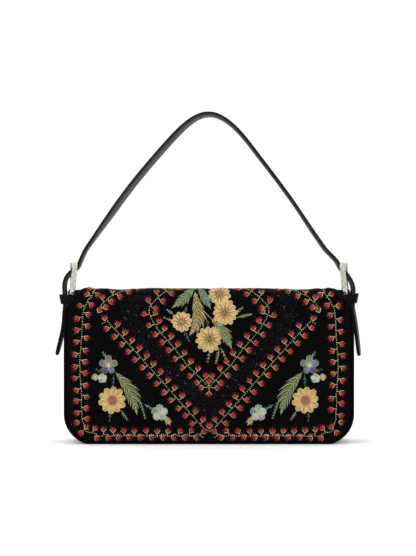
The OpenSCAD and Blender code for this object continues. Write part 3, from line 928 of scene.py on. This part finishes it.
# Slip pocket on the back wall, a little open at its top
pocket_low, pocket_high = (np.array(corner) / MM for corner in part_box("slip_pocket"))
pocket_x = pocket_high[0]
pocket_r = 9
z = np.linspace(pocket_low[2] + 0.5, pocket_high[2] - 0.5, 34)
drop = 1 - np.clip((z - pocket_low[2]) / pocket_r, 0, 1)
half = pocket_x - 0.5 - (pocket_r - pocket_r * np.sqrt(np.clip(1 - drop**2, 0, 1)))
x = np.linspace(-1, 1, 61)[None, :] * half[:, None]
z = np.repeat(z[:, None], 61, axis=1)
open_share = smooth_step((z - pocket_low[2]) / (pocket_high[2] - pocket_low[2])) * (1 - (x / pocket_x) ** 2)
y = inside_wall(1, x, z, layer_gap + lining_thick + 0.45) - 1.8 * open_share - 0.12 * np.sin(x / 7) * open_share
normals = np.full(x.shape + (3,), [0.0, 1.0, 0.0])
pocket_cloth = thick_sheet("pocket_satin", np.stack([x, y, z], -1), normals, lining_thick, satin, 3)
piece(pocket_cloth, "bag", "lining_cloth", "slip_pocket")


# ---------------------------------------------------------------- embroidery
# Traditional vines, buds, chevrons and flower sprays. Places are (x, height) in millimetres on the front of the flap
# as it hangs, and everything is laid on the cloth along its path, so that it curves over the fold.
def to_path(height):
    """Path length s for a height on the closed flap seen from the front."""
    over = np.clip((height - fold_z) / fold_r, 0, 1)
    return height - fold_z if height <= fold_z else float(fold_r * np.arcsin(over))


def placed(*points):
    """(x, height) pairs to (x, s) pairs."""
    return [(x, to_path(z)) for x, z in points]


class Stitches:
    """Collects raised threads and beads on a surface, and makes one mesh of each kind."""

    def __init__(self, place=flap_point, bodies=flap_bodies):
        self.place, self.bodies = place, bodies
        self.threads = {}
        self.beads = []

    def thread(self, path, width, colour, lift=0.0):
        """path (n, 2) in (x, s), with a width at each point."""
        tone = np.clip(np.asarray(colour) * (0.92 + 0.16 * rng.random()), 0, 1)
        row = np.asarray(path, float), np.asarray(width, float), np.asarray(lift), tone
        self.threads.setdefault(len(path), []).append(row)

    def shape(self, shape, angle, at, width, colour, lift):
        """A thread given in its own axes, turned by angle and moved to a place."""
        self.thread(turn(shape, angle) + at, width, colour, lift)

    def bead(self, x, s, size, colour, high=0.8):
        self.beads.append((x, s, size / 2, high, *colour))

    def domed(self, path, width, lift, tone, sides=5):
        """Points, colours and faces of threads of equal length."""
        angle = np.linspace(0, math.pi, sides)
        along = unit(np.gradient(path, axis=1))
        side = np.stack([-along[..., 1], along[..., 0]], -1)
        across = np.cos(angle) * width[..., None] / 2
        up = np.sin(angle) * (width * 0.42)[..., None] + lift[:, None, None] - 0.05
        flat = path[:, :, None, :] + side[:, :, None, :] * across[..., None]
        points = self.place(flat[..., 0], flat[..., 1], up)
        # Each thread's colour is painted darker towards both its edges and lightest along its crown: painted shade.
        colours = tone[:, None, None, :] * (0.7 + 0.3 * np.sin(angle))[:, None] * np.ones(points.shape)
        return points.reshape(-1, 3), colours.reshape(-1, 3), quads(numbers(*points.shape[:3]))[:, [0, 3, 2, 1]]

    def build_threads(self, name, material, slot):
        made = [self.domed(*map(np.stack, zip(*rows))) for _, rows in sorted(self.threads.items())]
        first = np.cumsum([0] + [len(points) for points, _, _ in made])
        points, colours, faces = zip(*made)
        faces = [block + start for block, start in zip(faces, first)]
        made = mesh_object(name, np.concatenate(points), faces, material, np.concatenate(colours))
        piece(made, self.bodies, slot)

    def build_beads(self, name, material, slot, sides=6):
        """Faceted domes: two bands and a point, at shares of a bead's height and of its radius."""
        rows = np.array(self.beads)
        x, s, radius, high = rows[:, :4].T[:, :, None]
        angle = rng.random(len(rows))[:, None] * math.pi + np.arange(sides)[None, :] * 2 * math.pi / sides
        rings = []
        for up, wide in ((0.0, 1.0), (0.55, 0.86), (0.92, 0.4), (1.0, 0.0)):
            lift = np.repeat(up * radius * high, sides, axis=1)
            rings.append(np.stack([x + np.cos(angle) * (radius * wide), s + np.sin(angle) * (radius * wide), lift], -1))
        each = 3 * sides + 1
        flat = np.concatenate(rings, axis=1)[:, :each].reshape(-1, 3)
        near = np.arange(sides)
        far = (near + 1) % sides
        band = np.stack([near, far, far + sides, near + sides], -1)
        cap = np.stack([near + 2 * sides, far + 2 * sides, np.full(sides, 3 * sides)], -1)
        start = np.arange(len(rows))[:, None, None] * each
        faces = [(start + block).reshape(-1, block.shape[1]) for block in (band, band + sides, cap)]
        colours = np.repeat(rows[:, 4:7], each, axis=0)
        piece(mesh_object(name, self.place(*flat.T), faces, material, colours), self.bodies, slot)


def srgb(red, green, blue):
    values = np.array([red, green, blue], float) / 255
    return np.where(values <= 0.04045, values / 12.92, ((values + 0.055) / 1.055) ** 2.4)


red_dark = srgb(92, 12, 20)
red_mid = srgb(138, 24, 32)
red_light = srgb(168, 42, 42)
red_pink = srgb(192, 84, 78)
peach = srgb(206, 134, 100)
cream = srgb(212, 176, 124)
stem_tone = srgb(196, 180, 116)
stem_pale = srgb(214, 204, 160)
amber = srgb(200, 166, 106)
amber_deep = srgb(146, 102, 48)
amber_pale = srgb(232, 208, 158)
brown_pink = srgb(170, 118, 98)
sage = srgb(104, 116, 66)
sage_dark = srgb(58, 72, 38)
pale_green = srgb(160, 166, 116)
blue_green = srgb(84, 112, 88)
blue_green_pale = srgb(134, 156, 130)
gold_tan = srgb(148, 132, 80)
tan_pale = srgb(190, 174, 122)
olive = srgb(86, 78, 40)
lavender = srgb(122, 118, 140)
violet = srgb(90, 84, 116)
mint = srgb(158, 174, 160)
mint_white = srgb(200, 208, 196)
grey_green = srgb(122, 124, 112)

red_work, cream_work, green_work, pale_work, stem_work, jet_work = (Stitches() for _ in range(6))


def turn(points, angle):
    c, s = math.cos(angle), math.sin(angle)
    x, y = np.asarray(points, float).T
    return np.stack([x * c - y * s, x * s + y * c], -1)


def ray(x, s, angle, *reaches):
    """Points at distances from (x, s) in one direction."""
    return np.array([(x + far * math.cos(angle), s + far * math.sin(angle)) for far in reaches])


def vary(low, range_up):
    return low + range_up * rng.random()


def bud(x, s, angle, size=1.0, red=red_work, pale=cream_work):
    """A tulip bud centred at (x, s) that points along angle, with a slim cream calyx like a V behind and beside it."""
    angle = angle + math.radians(14) * (rng.random() - 0.5)
    centre = np.array([x, s]) + 0.5 * (rng.random(2) - 0.5)
    scale = size * vary(0.94, 0.12)
    for spread_out, length, wide, tone in (
        (-50, 4.6, 0.85, red_dark), (-27, 5.6, 1.0, red_mid), (-3, 5.0, 0.9, red_light),
        (21, 5.8, 1.0, red_mid), (46, 4.6, 0.9, red_dark),
    ):
        a = math.radians(spread_out + 8 * (rng.random() - 0.5))
        length = length * vary(0.93, 0.14)
        path = np.concatenate([[(-2.3, 0.0)], ray(-2.3, 0.0, a * 1.1, 0.48 * length), ray(-2.3, 0.0, a, length)])
        red.shape(path * scale, angle, centre, np.array([0.5, 1.2, 0.12]) * wide * scale, tone, 0.15)
    shine = 0.9 * (1 if rng.random() < 0.5 else -1)
    path = np.array([[-1.4, 0.3 * shine], [0.1, shine], [1.5, 1.6 * shine]])
    red.shape(path * scale, angle, centre, np.array([0.3, 0.5, 0.15]) * scale, red_pink, 0.7)
    tone = peach if rng.random() < 0.5 else cream
    for sign in (-1, 1):
        path = np.array([[-3.3, 0.0], [-2.3, 1.15 * sign], [-1.0, 2.15 * sign], [0.2, 2.75 * sign]])
        pale.shape(path * scale, angle, centre, np.array([0.5, 0.68, 0.6, 0.2]) * scale, tone, 0.4)
    return centre + turn(np.array([[-3.3, 0.0]]) * scale, angle)[0]


def stalk(start, end):
    """A short thread from the stem to a bud, with a bead on it where there is room."""
    start, end = np.asarray(start), np.asarray(end)
    cream_work.thread([start, (start + end) / 2, end], [0.2, 0.42, 0.4], stem_tone, 0.1)
    if np.linalg.norm(end - start) > 2.2:
        stem_work.bead(*(start + (end - start) * 0.5), 0.8, stem_pale)


def smooth_path(points, rounds=3):
    """Rounds the corners of an open path and keeps its ends."""
    points = np.asarray(points, float)
    for _ in range(rounds):
        near = points[:-1] * 0.75 + points[1:] * 0.25
        far = points[:-1] * 0.25 + points[1:] * 0.75
        points = np.concatenate([points[:1], np.stack([near, far], 1).reshape(-1, 2), points[-1:]])
    return points


def stem(points):
    """A line of separate beads."""
    for number, at in enumerate(spaced(points, 2.0)):
        at = at + 0.35 * (rng.random(2) - 0.5)
        stem_work.bead(*at, vary(0.8, 0.3), stem_tone if number % 3 else stem_pale)


def vine(points, pitch, away, lean, starts, sides, stop):
    """A beaded stem with buds to both sides, 1 to the left of its growth and -1 to the right. pitch is along the stem,
    away how far a bud's middle lies from it, lean the angle in degrees between the stem's growth and a bud."""
    path = smooth_path(points)
    far_along = lengths(path)
    stem(path)

    def at_length(value):
        return along_path(value, far_along, path)

    for start, side, far, bud_lean in zip(starts, sides, np.broadcast_to(away, 2), np.broadcast_to(lean, 2)):
        at = pitch * start
        while at < far_along[-1] - stop:
            ahead = at_length(at + 1.5) - at_length(at - 1.5)
            growth = math.atan2(ahead[1], ahead[0])
            direction = growth + side * math.radians(bud_lean) + math.radians(10 * (rng.random() - 0.5))
            centre = at_length(at) + far * ray(0, 0, growth + side * math.pi / 2, 1)[0]
            stalk(at_length(at - 1.6), bud(*centre, direction, 0.98))
            at += pitch * vary(0.95, 0.1)


def mirrored(points):
    return [(-x, s) for x, s in points]


# Vines: (x, height) on the front, then (x, path length) where they lie on top
side_vine = placed((-107.0, 143.5), (-109.5, 137.0), (-113.0, 135.0), (-115.0, 129.5), (-117.0, 126.0), (-117.8, 119.5),
                   (-118.2, 110.0), (-119.2, 92.0), (-120.4, 80.0), (-120.2, 66.0), (-119.6, 55.5), (-118.4, 45.0),
                   (-119.4, 36.5), (-118.0, 29.0), (-118.6, 24.0), (-116.4, 18.0))
side_vine_top = [(-106.0, seam_s - 4), (-106.5, 34.0), (-108.0, 22.0), (-107.0, 10.5)]
outer_v = placed((-7.5, 18.0), (-30.0, 43.5), (-52.0, 68.5), (-74.0, 93.0), (-94.5, 115.0))
inner_v = placed((-1.0, 55.0), (-12.0, 66.0), (-19.5, 73.0), (-27.0, 83.0), (-35.5, 94.0), (-44.0, 103.0),
                 (-49.5, 110.5), (-54.0, 118.5), (-56.3, 125.0), (-55.0, 129.5), (-47.5, 137.0))
inner_v += [(-38.0, 10.5), (-28.0, 21.0), (-20.0, 33.0), (-15.0, seam_s - 4)]
corner_v = placed((-101.0, 127.0), (-100.0, 131.5), (-96.0, 134.0), (-92.5, 137.5), (-88.0, 139.5), (-76.5, 143.6))
corner_v += [(-62.0, 20.0), (-46.0, 31.0), (-32.0, seam_s - 4)]
garland = [(-111.5 + 5.3 * number, 10.6 if number % 2 else 6.9) for number in range(1, 21)]
garland = placed((-116.0, 14.0), (-113.0, 11.5), *garland)
corner_buds = [(124.0, 20.5, 200), (119.6, 10.6, 232), (113.6, 17.0, 40), (97.0, 118.5, 96), (101.5, 126.0, 60)]

for mark, way, shape in ((-1, (1, -1), list), (1, (-1, 1), mirrored)):
    def mirror_lean(degrees):
        return math.radians(degrees if mark < 0 else 180 - degrees)

    for line, pitch, away, lean, starts, stop in (
        (side_vine, 11.0, 5.4, 62, (0.55, 1.0), 4.0),
        (side_vine_top, 11.0, 5.4, 62, (0.4, 0.9), 1.0),
        (outer_v, 9.9, 5.7, 46, (0.75, 0.35), 2.0),
        (inner_v, 9.8, 5.8, 47, (1.0, 0.85), 1.0),
        (corner_v, 10.0, 5.0, 50, (0.9, 0.3), 1.0),
        (garland, 10.9, (5.6, 3.3), (64, 14), (0.9, 1.35), 1.5),
    ):
        vine(shape(line), pitch, away, lean, starts, way, stop)
    for x, z, lean in corner_buds:
        bud(mark * x, to_path(z), mirror_lean(lean))
    stem(placed((mark * 94.5, 115.0), (mark * 99.0, 113.0)))

for x, z, lean in ((0.0, 60.0, 90), (-8.2, 53.2, 182), (8.2, 53.2, -2), (0.0, 46.6, 270)):
    stalk((0.0, to_path(53.5)), bud(x, to_path(z), math.radians(lean)))
bud(0.0, to_path(18.5), math.radians(90), 1.05)
stem(placed((-7.5, 18.0), (-4.0, 14.5), (0.0, 12.5), (4.0, 14.5), (7.5, 18.0)))

# Band of jet beads between the two chevrons
band_half = 7.4
jet_pitch = 2.15
band_line = placed((0.0, 30.5), (-20.0, 54.0), (-46.0, 84.5), (-72.5, 115.0), (-75.5, 124.0), (-73.0, 133.0),
                   (-67.0, 140.5))
band_line += [(-54.0, 20.0), (-38.0, 31.0), (-24.0, seam_s - 3)]
# Black beads, with a few blue and violet ones and a few pale ones that are painted glints: how far up a random pick
# each tone reaches
jet_tones_and_painted_glints = [(0.07, (0.007, 0.008, 0.02)), (0.1, (0.012, 0.007, 0.016)), (0.125, (0.05, 0.056, 0.06)),
             (1.0, (0.0012, 0.0012, 0.0015))]

for mark, shape in ((-1, list), (1, mirrored)):
    line = spaced(smooth_path(shape(band_line)), 2.05)
    for row, (at, way) in enumerate(zip(line, unit(np.gradient(line, axis=0)))):
        edge = band_half + 1.2 * math.sin(row / 3.1)
        offset = -edge + (row % 2) * 1.0
        while offset <= edge:
            x, s = at + np.array([-way[1], way[0]]) * offset + 1.5 * (rng.random(2) - 0.5)
            if mark * x > -0.4 and rng.random() > 0.12:
                size, pick = vary(1.5, 0.6), rng.random()
                jet_work.bead(x, s, size, next(tone for limit, tone in jet_tones_and_painted_glints if pick < limit), 0.7)
            offset += jet_pitch


# Flowers, leaves and sprigs
def fan(work, at, angle, strokes, stroke, width, tones, shades, lift, outline, outline_width, edge, edge_lift):
    """Satin strokes that fan out, each given by its place from -1 to 1, and a lighter outline stitch at both sides."""
    for number, v in enumerate(np.linspace(-1, 1, strokes)):
        work.shape(stroke(v), angle, at, width, tones[number % len(tones)] * vary(*shades), lift)
    for sign in (-1, 1):
        work.shape(np.array(outline) * [1, sign], angle, at, outline_width, edge, edge_lift)


def petal(at, angle, length, wide, inner, edge, base, lift, tip, strokes):
    """A petal with round shoulders; tip is how much its end narrows."""
    def stroke(v):
        out = length * (1 - 0.17 * abs(v) ** 2.4)
        return [[base, v * wide * 0.14], [base + (out - base) * 0.4, v * wide * 0.34],
                [base + (out - base) * 0.75, v * wide * 0.4], [out, v * wide * 0.27 * (2 - tip)]]

    outline = [[base + 0.12 * length, wide * 0.15], [length * 0.45, wide * 0.4], [length * 0.8, wide * 0.43],
               [length * 0.98, wide * 0.2 * (2 - tip)], [length * 1.02, 0.0]]
    fan(cream_work, at, angle, strokes, stroke, np.array([0.5, 0.9, 1.0, 0.5]) * wide / strokes * 1.2, [inner],
        (0.72, 0.5), lift, outline, [0.3, 0.5, 0.6, 0.55, 0.4], edge, lift + 0.25)


def daisy(x, s, radius, petals, spin):
    """A full flower: notched petals in pairs of strokes, deep strokes at their feet, and a lighter knotted middle."""
    wide = 2 * radius * math.sin(math.pi / petals) * 0.84
    for k in range(petals):
        angle = spin + k * 2 * math.pi / petals + 0.08 * (rng.random() - 0.5)
        petal((x, s), angle, radius * vary(0.9, 0.16), wide, amber, amber_pale, radius * 0.22, 0.25, 0.8, 6)
        for a in (angle - 0.1, angle + 0.1):
            path = ray(x, s, a, 0.24 * radius, 0.44 * radius, 0.62 * radius)
            cream_work.thread(path, [0.5, 0.62, 0.2], amber_deep * vary(0.8, 0.4), 0.62)
    for k in range(22):
        foot = ray(x, s, k * 2.4, 0.05 * radius * math.sqrt(k))[0]
        tone = (amber_pale, amber, amber_pale, amber_deep)[k % 4]
        cream_work.thread([foot - [0.3, 0], foot + [0.4, 0.25]], [0.62, 0.5], tone, 0.9)


def open_flower(x, s, radius, petals, inner, edge, heart, spin, heart_r):
    """A single row of wide, rounded petals round a stitched heart."""
    wide = 2 * radius * math.sin(math.pi / petals) * 0.83
    for k in range(petals):
        angle = spin + k * 2 * math.pi / petals + 0.05 * (rng.random() - 0.5)
        petal((x, s), angle, radius * vary(0.93, 0.12), wide, inner, edge, radius * heart_r * 0.7, 0.3, 0.75, 8)
        path = ray(x, s, angle + math.pi / petals, 0.34 * radius, 0.56 * radius, 0.78 * radius)
        cream_work.thread(path, [0.5, 0.55, 0.2], amber_deep, 0.5)
    for k in range(26):
        path = ray(x, s, k * 2 * math.pi / 26, 0, radius * heart_r)
        cream_work.thread(path, [0.3, 1.0], heart * vary(0.75, 0.3), 0.35)
    rings = 3
    for ring in range(rings):
        away = radius * heart_r * (1 - ring / rings)
        count = max(5, int(away * 4))
        for k in range(count):
            angle = k * 2 * math.pi / count + ring
            tone = np.clip(heart * vary(0.6, 0.8), 0, 1)
            path = [ray(x, s, angle, away * 1.12)[0], ray(x, s, angle + 0.45, away * 0.72)[0]]
            cream_work.thread(path, [0.6, 0.6], tone, 0.75 + 0.15 * ring)


def small_flower(at, radius, petals, tones, edge, spin):
    wide = 1.5 * radius * math.sin(math.pi / petals)

    def stroke(v):
        out = radius * (1 - 0.22 * v * v)
        return [[0.1 * radius, v * 0.1 * wide], [0.55 * out, v * 0.44 * wide], [out, v * 0.34 * wide]]

    outline = [[0.15 * radius, 0.1 * wide], [0.55 * radius, 0.48 * wide], [0.9 * radius, 0.4 * wide],
               [1.03 * radius, 0.0]]
    for k in range(petals):
        fan(pale_work, at, spin + k * 2 * math.pi / petals, 6, stroke, np.array([0.35, 1.0, 0.6]) * wide / 6 * 1.15,
            [tones[k % len(tones)]], (0.7, 0.45), 0.3, outline, [0.25, 0.45, 0.45, 0.3], edge, 0.55)
    for k in range(7):
        path = ray(*at, k * 2 * math.pi / 7, 0, 0.34 * radius)
        cream_work.thread(path, [0.7, 0.4], (amber_pale, cream)[k % 2], 0.8)


def pansy(at, mark):
    """Two upper petals and three lower ones, in strokes light and dark by turns."""
    for angle, tone, edge, length in (
        (92, grey_green, mint, 9.2), (20, grey_green, mint, 8.6), (160, lavender, mint, 8.8),
        (232, violet, lavender, 8.6), (300, lavender, violet, 8.4),
    ):
        def stroke(v):
            return [[0.6, v * 0.4], [0.55 * length, v * 2.7], [length * (1 - 0.18 * v * v), v * 2.5]]

        outline = [[1.0, 0.6], [0.55 * length, 3.1], [0.9 * length, 2.5], [1.02 * length, 0]]
        fan(pale_work, at, math.radians(angle if mark < 0 else 180 - angle), 7, stroke, [0.4, 1.0, 0.5],
            [tone * 0.6, tone * 1.4], (0.85, 0.3), 0.3, outline, [0.25, 0.45, 0.5, 0.3], edge, 0.55)
    for k in range(12):
        path = ray(*at, k * 2 * math.pi / 12, 0, 2.2 + 1.6 * (k % 2))
        cream_work.thread(path, [0.8, 0.35], (amber_pale, cream, mint_white)[k % 3], 0.8)


def leaf(points, wide, tones, vein, teeth=5, lean=32, pitch=1.1, lobes=0.22):
    """A long serrated leaf: slanting satin strokes in pairs from its rib, light and dark by turns, longer at teeth."""
    line = spaced(smooth_path(points), pitch)
    along = unit(np.gradient(line, axis=0))
    count = len(line)
    for k in range(1, count - 1):
        t = k / (count - 1)
        form = min(math.sin(math.pi * min(1.0, t * 0.92 + 0.06)) ** 0.75, 1.5 * (1 - t) ** 0.9 + 0.04)
        phase = (t * teeth) % 1.0
        length = wide / 2 * form * (1 - lobes + 2 * lobes * phase) / math.sin(math.radians(lean))
        angle = math.atan2(along[k][1], along[k][0])
        shade = 1.15 if k % 2 else 0.62
        for sign in (-1, 1):
            a = angle + sign * math.radians(lean)
            tip = ray(*line[k], a, length)[0]
            middle = ray(*line[k], a + sign * 0.12, 0.5 * length)[0]
            tone = np.clip(tones[k % len(tones)] * shade * vary(0.9, 0.2), 0, 1)
            green_work.thread([line[k], middle, tip], np.array([0.5, 0.92, 0.2]) * pitch, tone, 0.25)
            if phase > 0.66:
                green_work.thread([middle, tip], [0.35, 0.3], vein, 0.62)
    green_work.thread([line[-4], line[-1], line[-1] + 2.2 * along[-1]], [0.9, 1.0, 0.2], vein, 0.4)
    for k in range(0, count - 2, 2):
        green_work.thread([line[k], line[k + 2]], [0.5, 0.5], vein, 0.6)


def sprig(start, end, tone, twigs):
    start, end = np.asarray(start, float), np.asarray(end, float)
    way = unit(end - start)
    side = np.array([-way[1], way[0]])
    green_work.thread([start, (start + end) / 2 + side * 0.4, end], [0.5, 0.55, 0.3], tone, 0.3)
    for k in range(twigs):
        t = 0.25 + 0.7 * k / max(1, twigs - 1)
        foot = start + (end - start) * t
        for sign in (-1, 1):
            tip = foot + 2.6 * (1.1 - 0.5 * t) * (0.75 * way + sign * 0.66 * side)
            tint = np.clip(tone * vary(0.85, 0.3), 0, 1)
            green_work.thread([foot, (foot + tip) / 2 + 0.15 * way, tip], [0.4, 0.55, 0.2], tint, 0.35)


# Centre bouquet, which hangs from the fold
cool, warm, fresh = (blue_green, blue_green_pale, sage), (gold_tan, tan_pale, olive), (sage, pale_green, blue_green)
leaf(placed((-13.0, 141.0), (-9.6, 122.0), (-11.5, 110.5), (-17.0, 103.5)), 13.5, warm, tan_pale, 5, 30, 1.15, 0.2)
leaf(placed((-13.0, 144.2), (-22.0, 136.5), (-33.0, 128.5)), 9.5, cool, pale_green)
leaf(placed((-10.0, 144.2), (-4.0, 137.0), (1.0, 128.0)), 8.5, cool, blue_green_pale)
leaf(placed((2.6, 117.0), (12.5, 107.0), (17.5, 97.5), (20.5, 91.0)), 10.5, fresh, pale_green, 5, 34)
leaf([(-12.0, 12.0), (-18.0, 24.0), (-30.0, 33.0)], 9.0, fresh, pale_green)
leaf([(-9.0, 12.0), (-4.0, 26.0), (-8.0, 38.0)], 9.0, warm, tan_pale)
green_work.thread(placed((-6.0, 126.0), (-2.0, 121.5), (2.6, 117.0)), [0.5, 0.7, 0.6], pale_green, 0.4)
for x, s, radius, petals, spin in (
    (-25.5, to_path(114.5), 9.5, 11, 0.2),
    (15.0, to_path(123.0), 11.9, 12, 0.05),
    (0.3, to_path(98.5), 12.0, 12, 0.15),
    (9.6, 6.4, 10.4, 12, 0.3),
    (12.0, 32.0, 9.5, 11, 0.4),
):
    daisy(x, s, radius, petals, spin)

for start, end, tone, twigs in (
    ((-33.0, 121.5), (-38.5, 125.5), pale_green, 3),
    ((-34.0, 115.5), (-41.5, 118.5), pale_green, 2),
    ((-20.5, 129.0), (-22.5, 123.5), blue_green, 3),
    ((-23.5, 106.0), (-18.5, 97.0), blue_green, 3),
    ((0.4, 87.0), (-1.2, 77.5), blue_green_pale, 3),
    ((9.5, 90.0), (6.5, 76.0), pale_green, 5),
    ((11.0, 90.0), (15.5, 80.5), pale_green, 3),
    ((25.5, 123.0), (31.0, 127.5), pale_green, 3),
    ((26.0, 118.5), (39.5, 121.5), pale_green, 6),
    ((-1.4, 116.5), (-1.2, 111.0), blue_green, 2),
):
    sprig(*placed(start, end), tone, twigs)

# Corner bouquets, one the mirror of the other
for mark in (-1, 1):
    def at(*points):
        return placed(*((mark * x, z) for x, z in points))

    leaf(at((87.0, 67.5), (78.0, 57.5), (71.0, 45.0), (67.4, 30.0)), 12.5, (sage, sage_dark, pale_green), pale_green,
         6, 30, 1.15, 0.28)
    open_flower(*at((90.0, 41.3))[0], 12.3, 10, amber, amber_pale, brown_pink, 0.2, 0.34)
    pansy(at((93.5, 74.0))[0], mark)
    small_flower(at((99.3, 62.0))[0], 4.3, 5, (mint_white, mint), mint_white, 0.4)
    small_flower(at((106.0, 63.0))[0], 3.0, 4, (pale_green, mint), cream, 0.2)
    small_flower(at((46.0, 29.8))[0], 7.5, 5, (mint_white, mint, blue_green_pale), mint_white, 0.3)
    leaf(at((41.5, 27.0), (38.8, 23.0), (36.8, 19.5)), 7.0, (pale_green, tan_pale), tan_pale, 3, 38, 1.0, 0.3)
    for start, end, tone, twigs in (
        ((96.0, 82.0), (98.5, 85.5), blue_green_pale, 2),
        ((99.5, 68.0), (104.5, 70.0), blue_green, 2),
        ((89.0, 65.0), (89.3, 55.0), blue_green, 3),
        ((92.4, 29.5), (92.6, 22.5), blue_green, 2),
        ((82.0, 32.0), (76.5, 23.5), blue_green_pale, 4),
        ((65.5, 44.0), (59.2, 24.5), blue_green_pale, 6),
        ((60.0, 37.5), (52.5, 33.0), blue_green_pale, 3),
    ):
        sprig(*at(start, end), tone, twigs)


# Vines on the gussets, beside the front: (y, height) pairs
def gusset_place(side):
    def place(y, z, lift):
        return np.stack([side * (side_half(z) + gusset_swell(y, z) - pleat_in(y, z) + lift), y, z], -1)
    return place


for side, word in ((-1, "left"), (1, "right")):
    reds, creams = (Stitches(gusset_place(side), "bag") for _ in range(2))
    for z in np.arange(34.0, 118.0, 9.5):
        for y, height, lean in ((-17.0, z, 215), (-8.5, z + 4.7, -35)):
            bud(y, height, math.radians(lean), 0.9, reds, creams)
            creams.thread([[y * 0.62 - 4.9, height + 1.0], [y * 0.9 - 1.2, height + 1.6]], [0.4, 0.4], stem_tone, 0.1)
    for z in np.arange(30.0, 122.0, 2.0):
        creams.bead(-12.8 + 0.8 * math.sin(z / 7), z, 0.95, stem_tone if int(z) % 3 else stem_pale)
    reds.build_threads("gusset_buds_" + word, floss, "thread_red")
    creams.build_threads("gusset_calyx_" + word, floss, "thread_cream")
    creams.build_beads("gusset_beads_" + word, stem_bead, "thread_cream")

red_work.build_threads("bud_threads", floss, "thread_red")
cream_work.build_threads("cream_threads", floss, "thread_cream")
green_work.build_threads("leaf_threads", floss, "thread_green")
pale_work.build_threads("pale_threads", floss, "thread_pale")
stem_work.build_beads("stem_beads", stem_bead, "thread_cream")
jet_work.build_beads("jet_beads", jet_bead, "beads")


# ---------------------------------------------------------------- CAD pieces that keep their shape
for names, material in (
    (("prong_left", "prong_right"), prong_silver),
    (("rivet_left", "rivet_right", "rivet_cap_left", "rivet_cap_right", "snap_base", "snap_cap"), snap_silver),
    (("base_board",), board_cloth),
):
    for name in names:
        for place in bpy.data.objects[name].material_slots:
            place.material = material
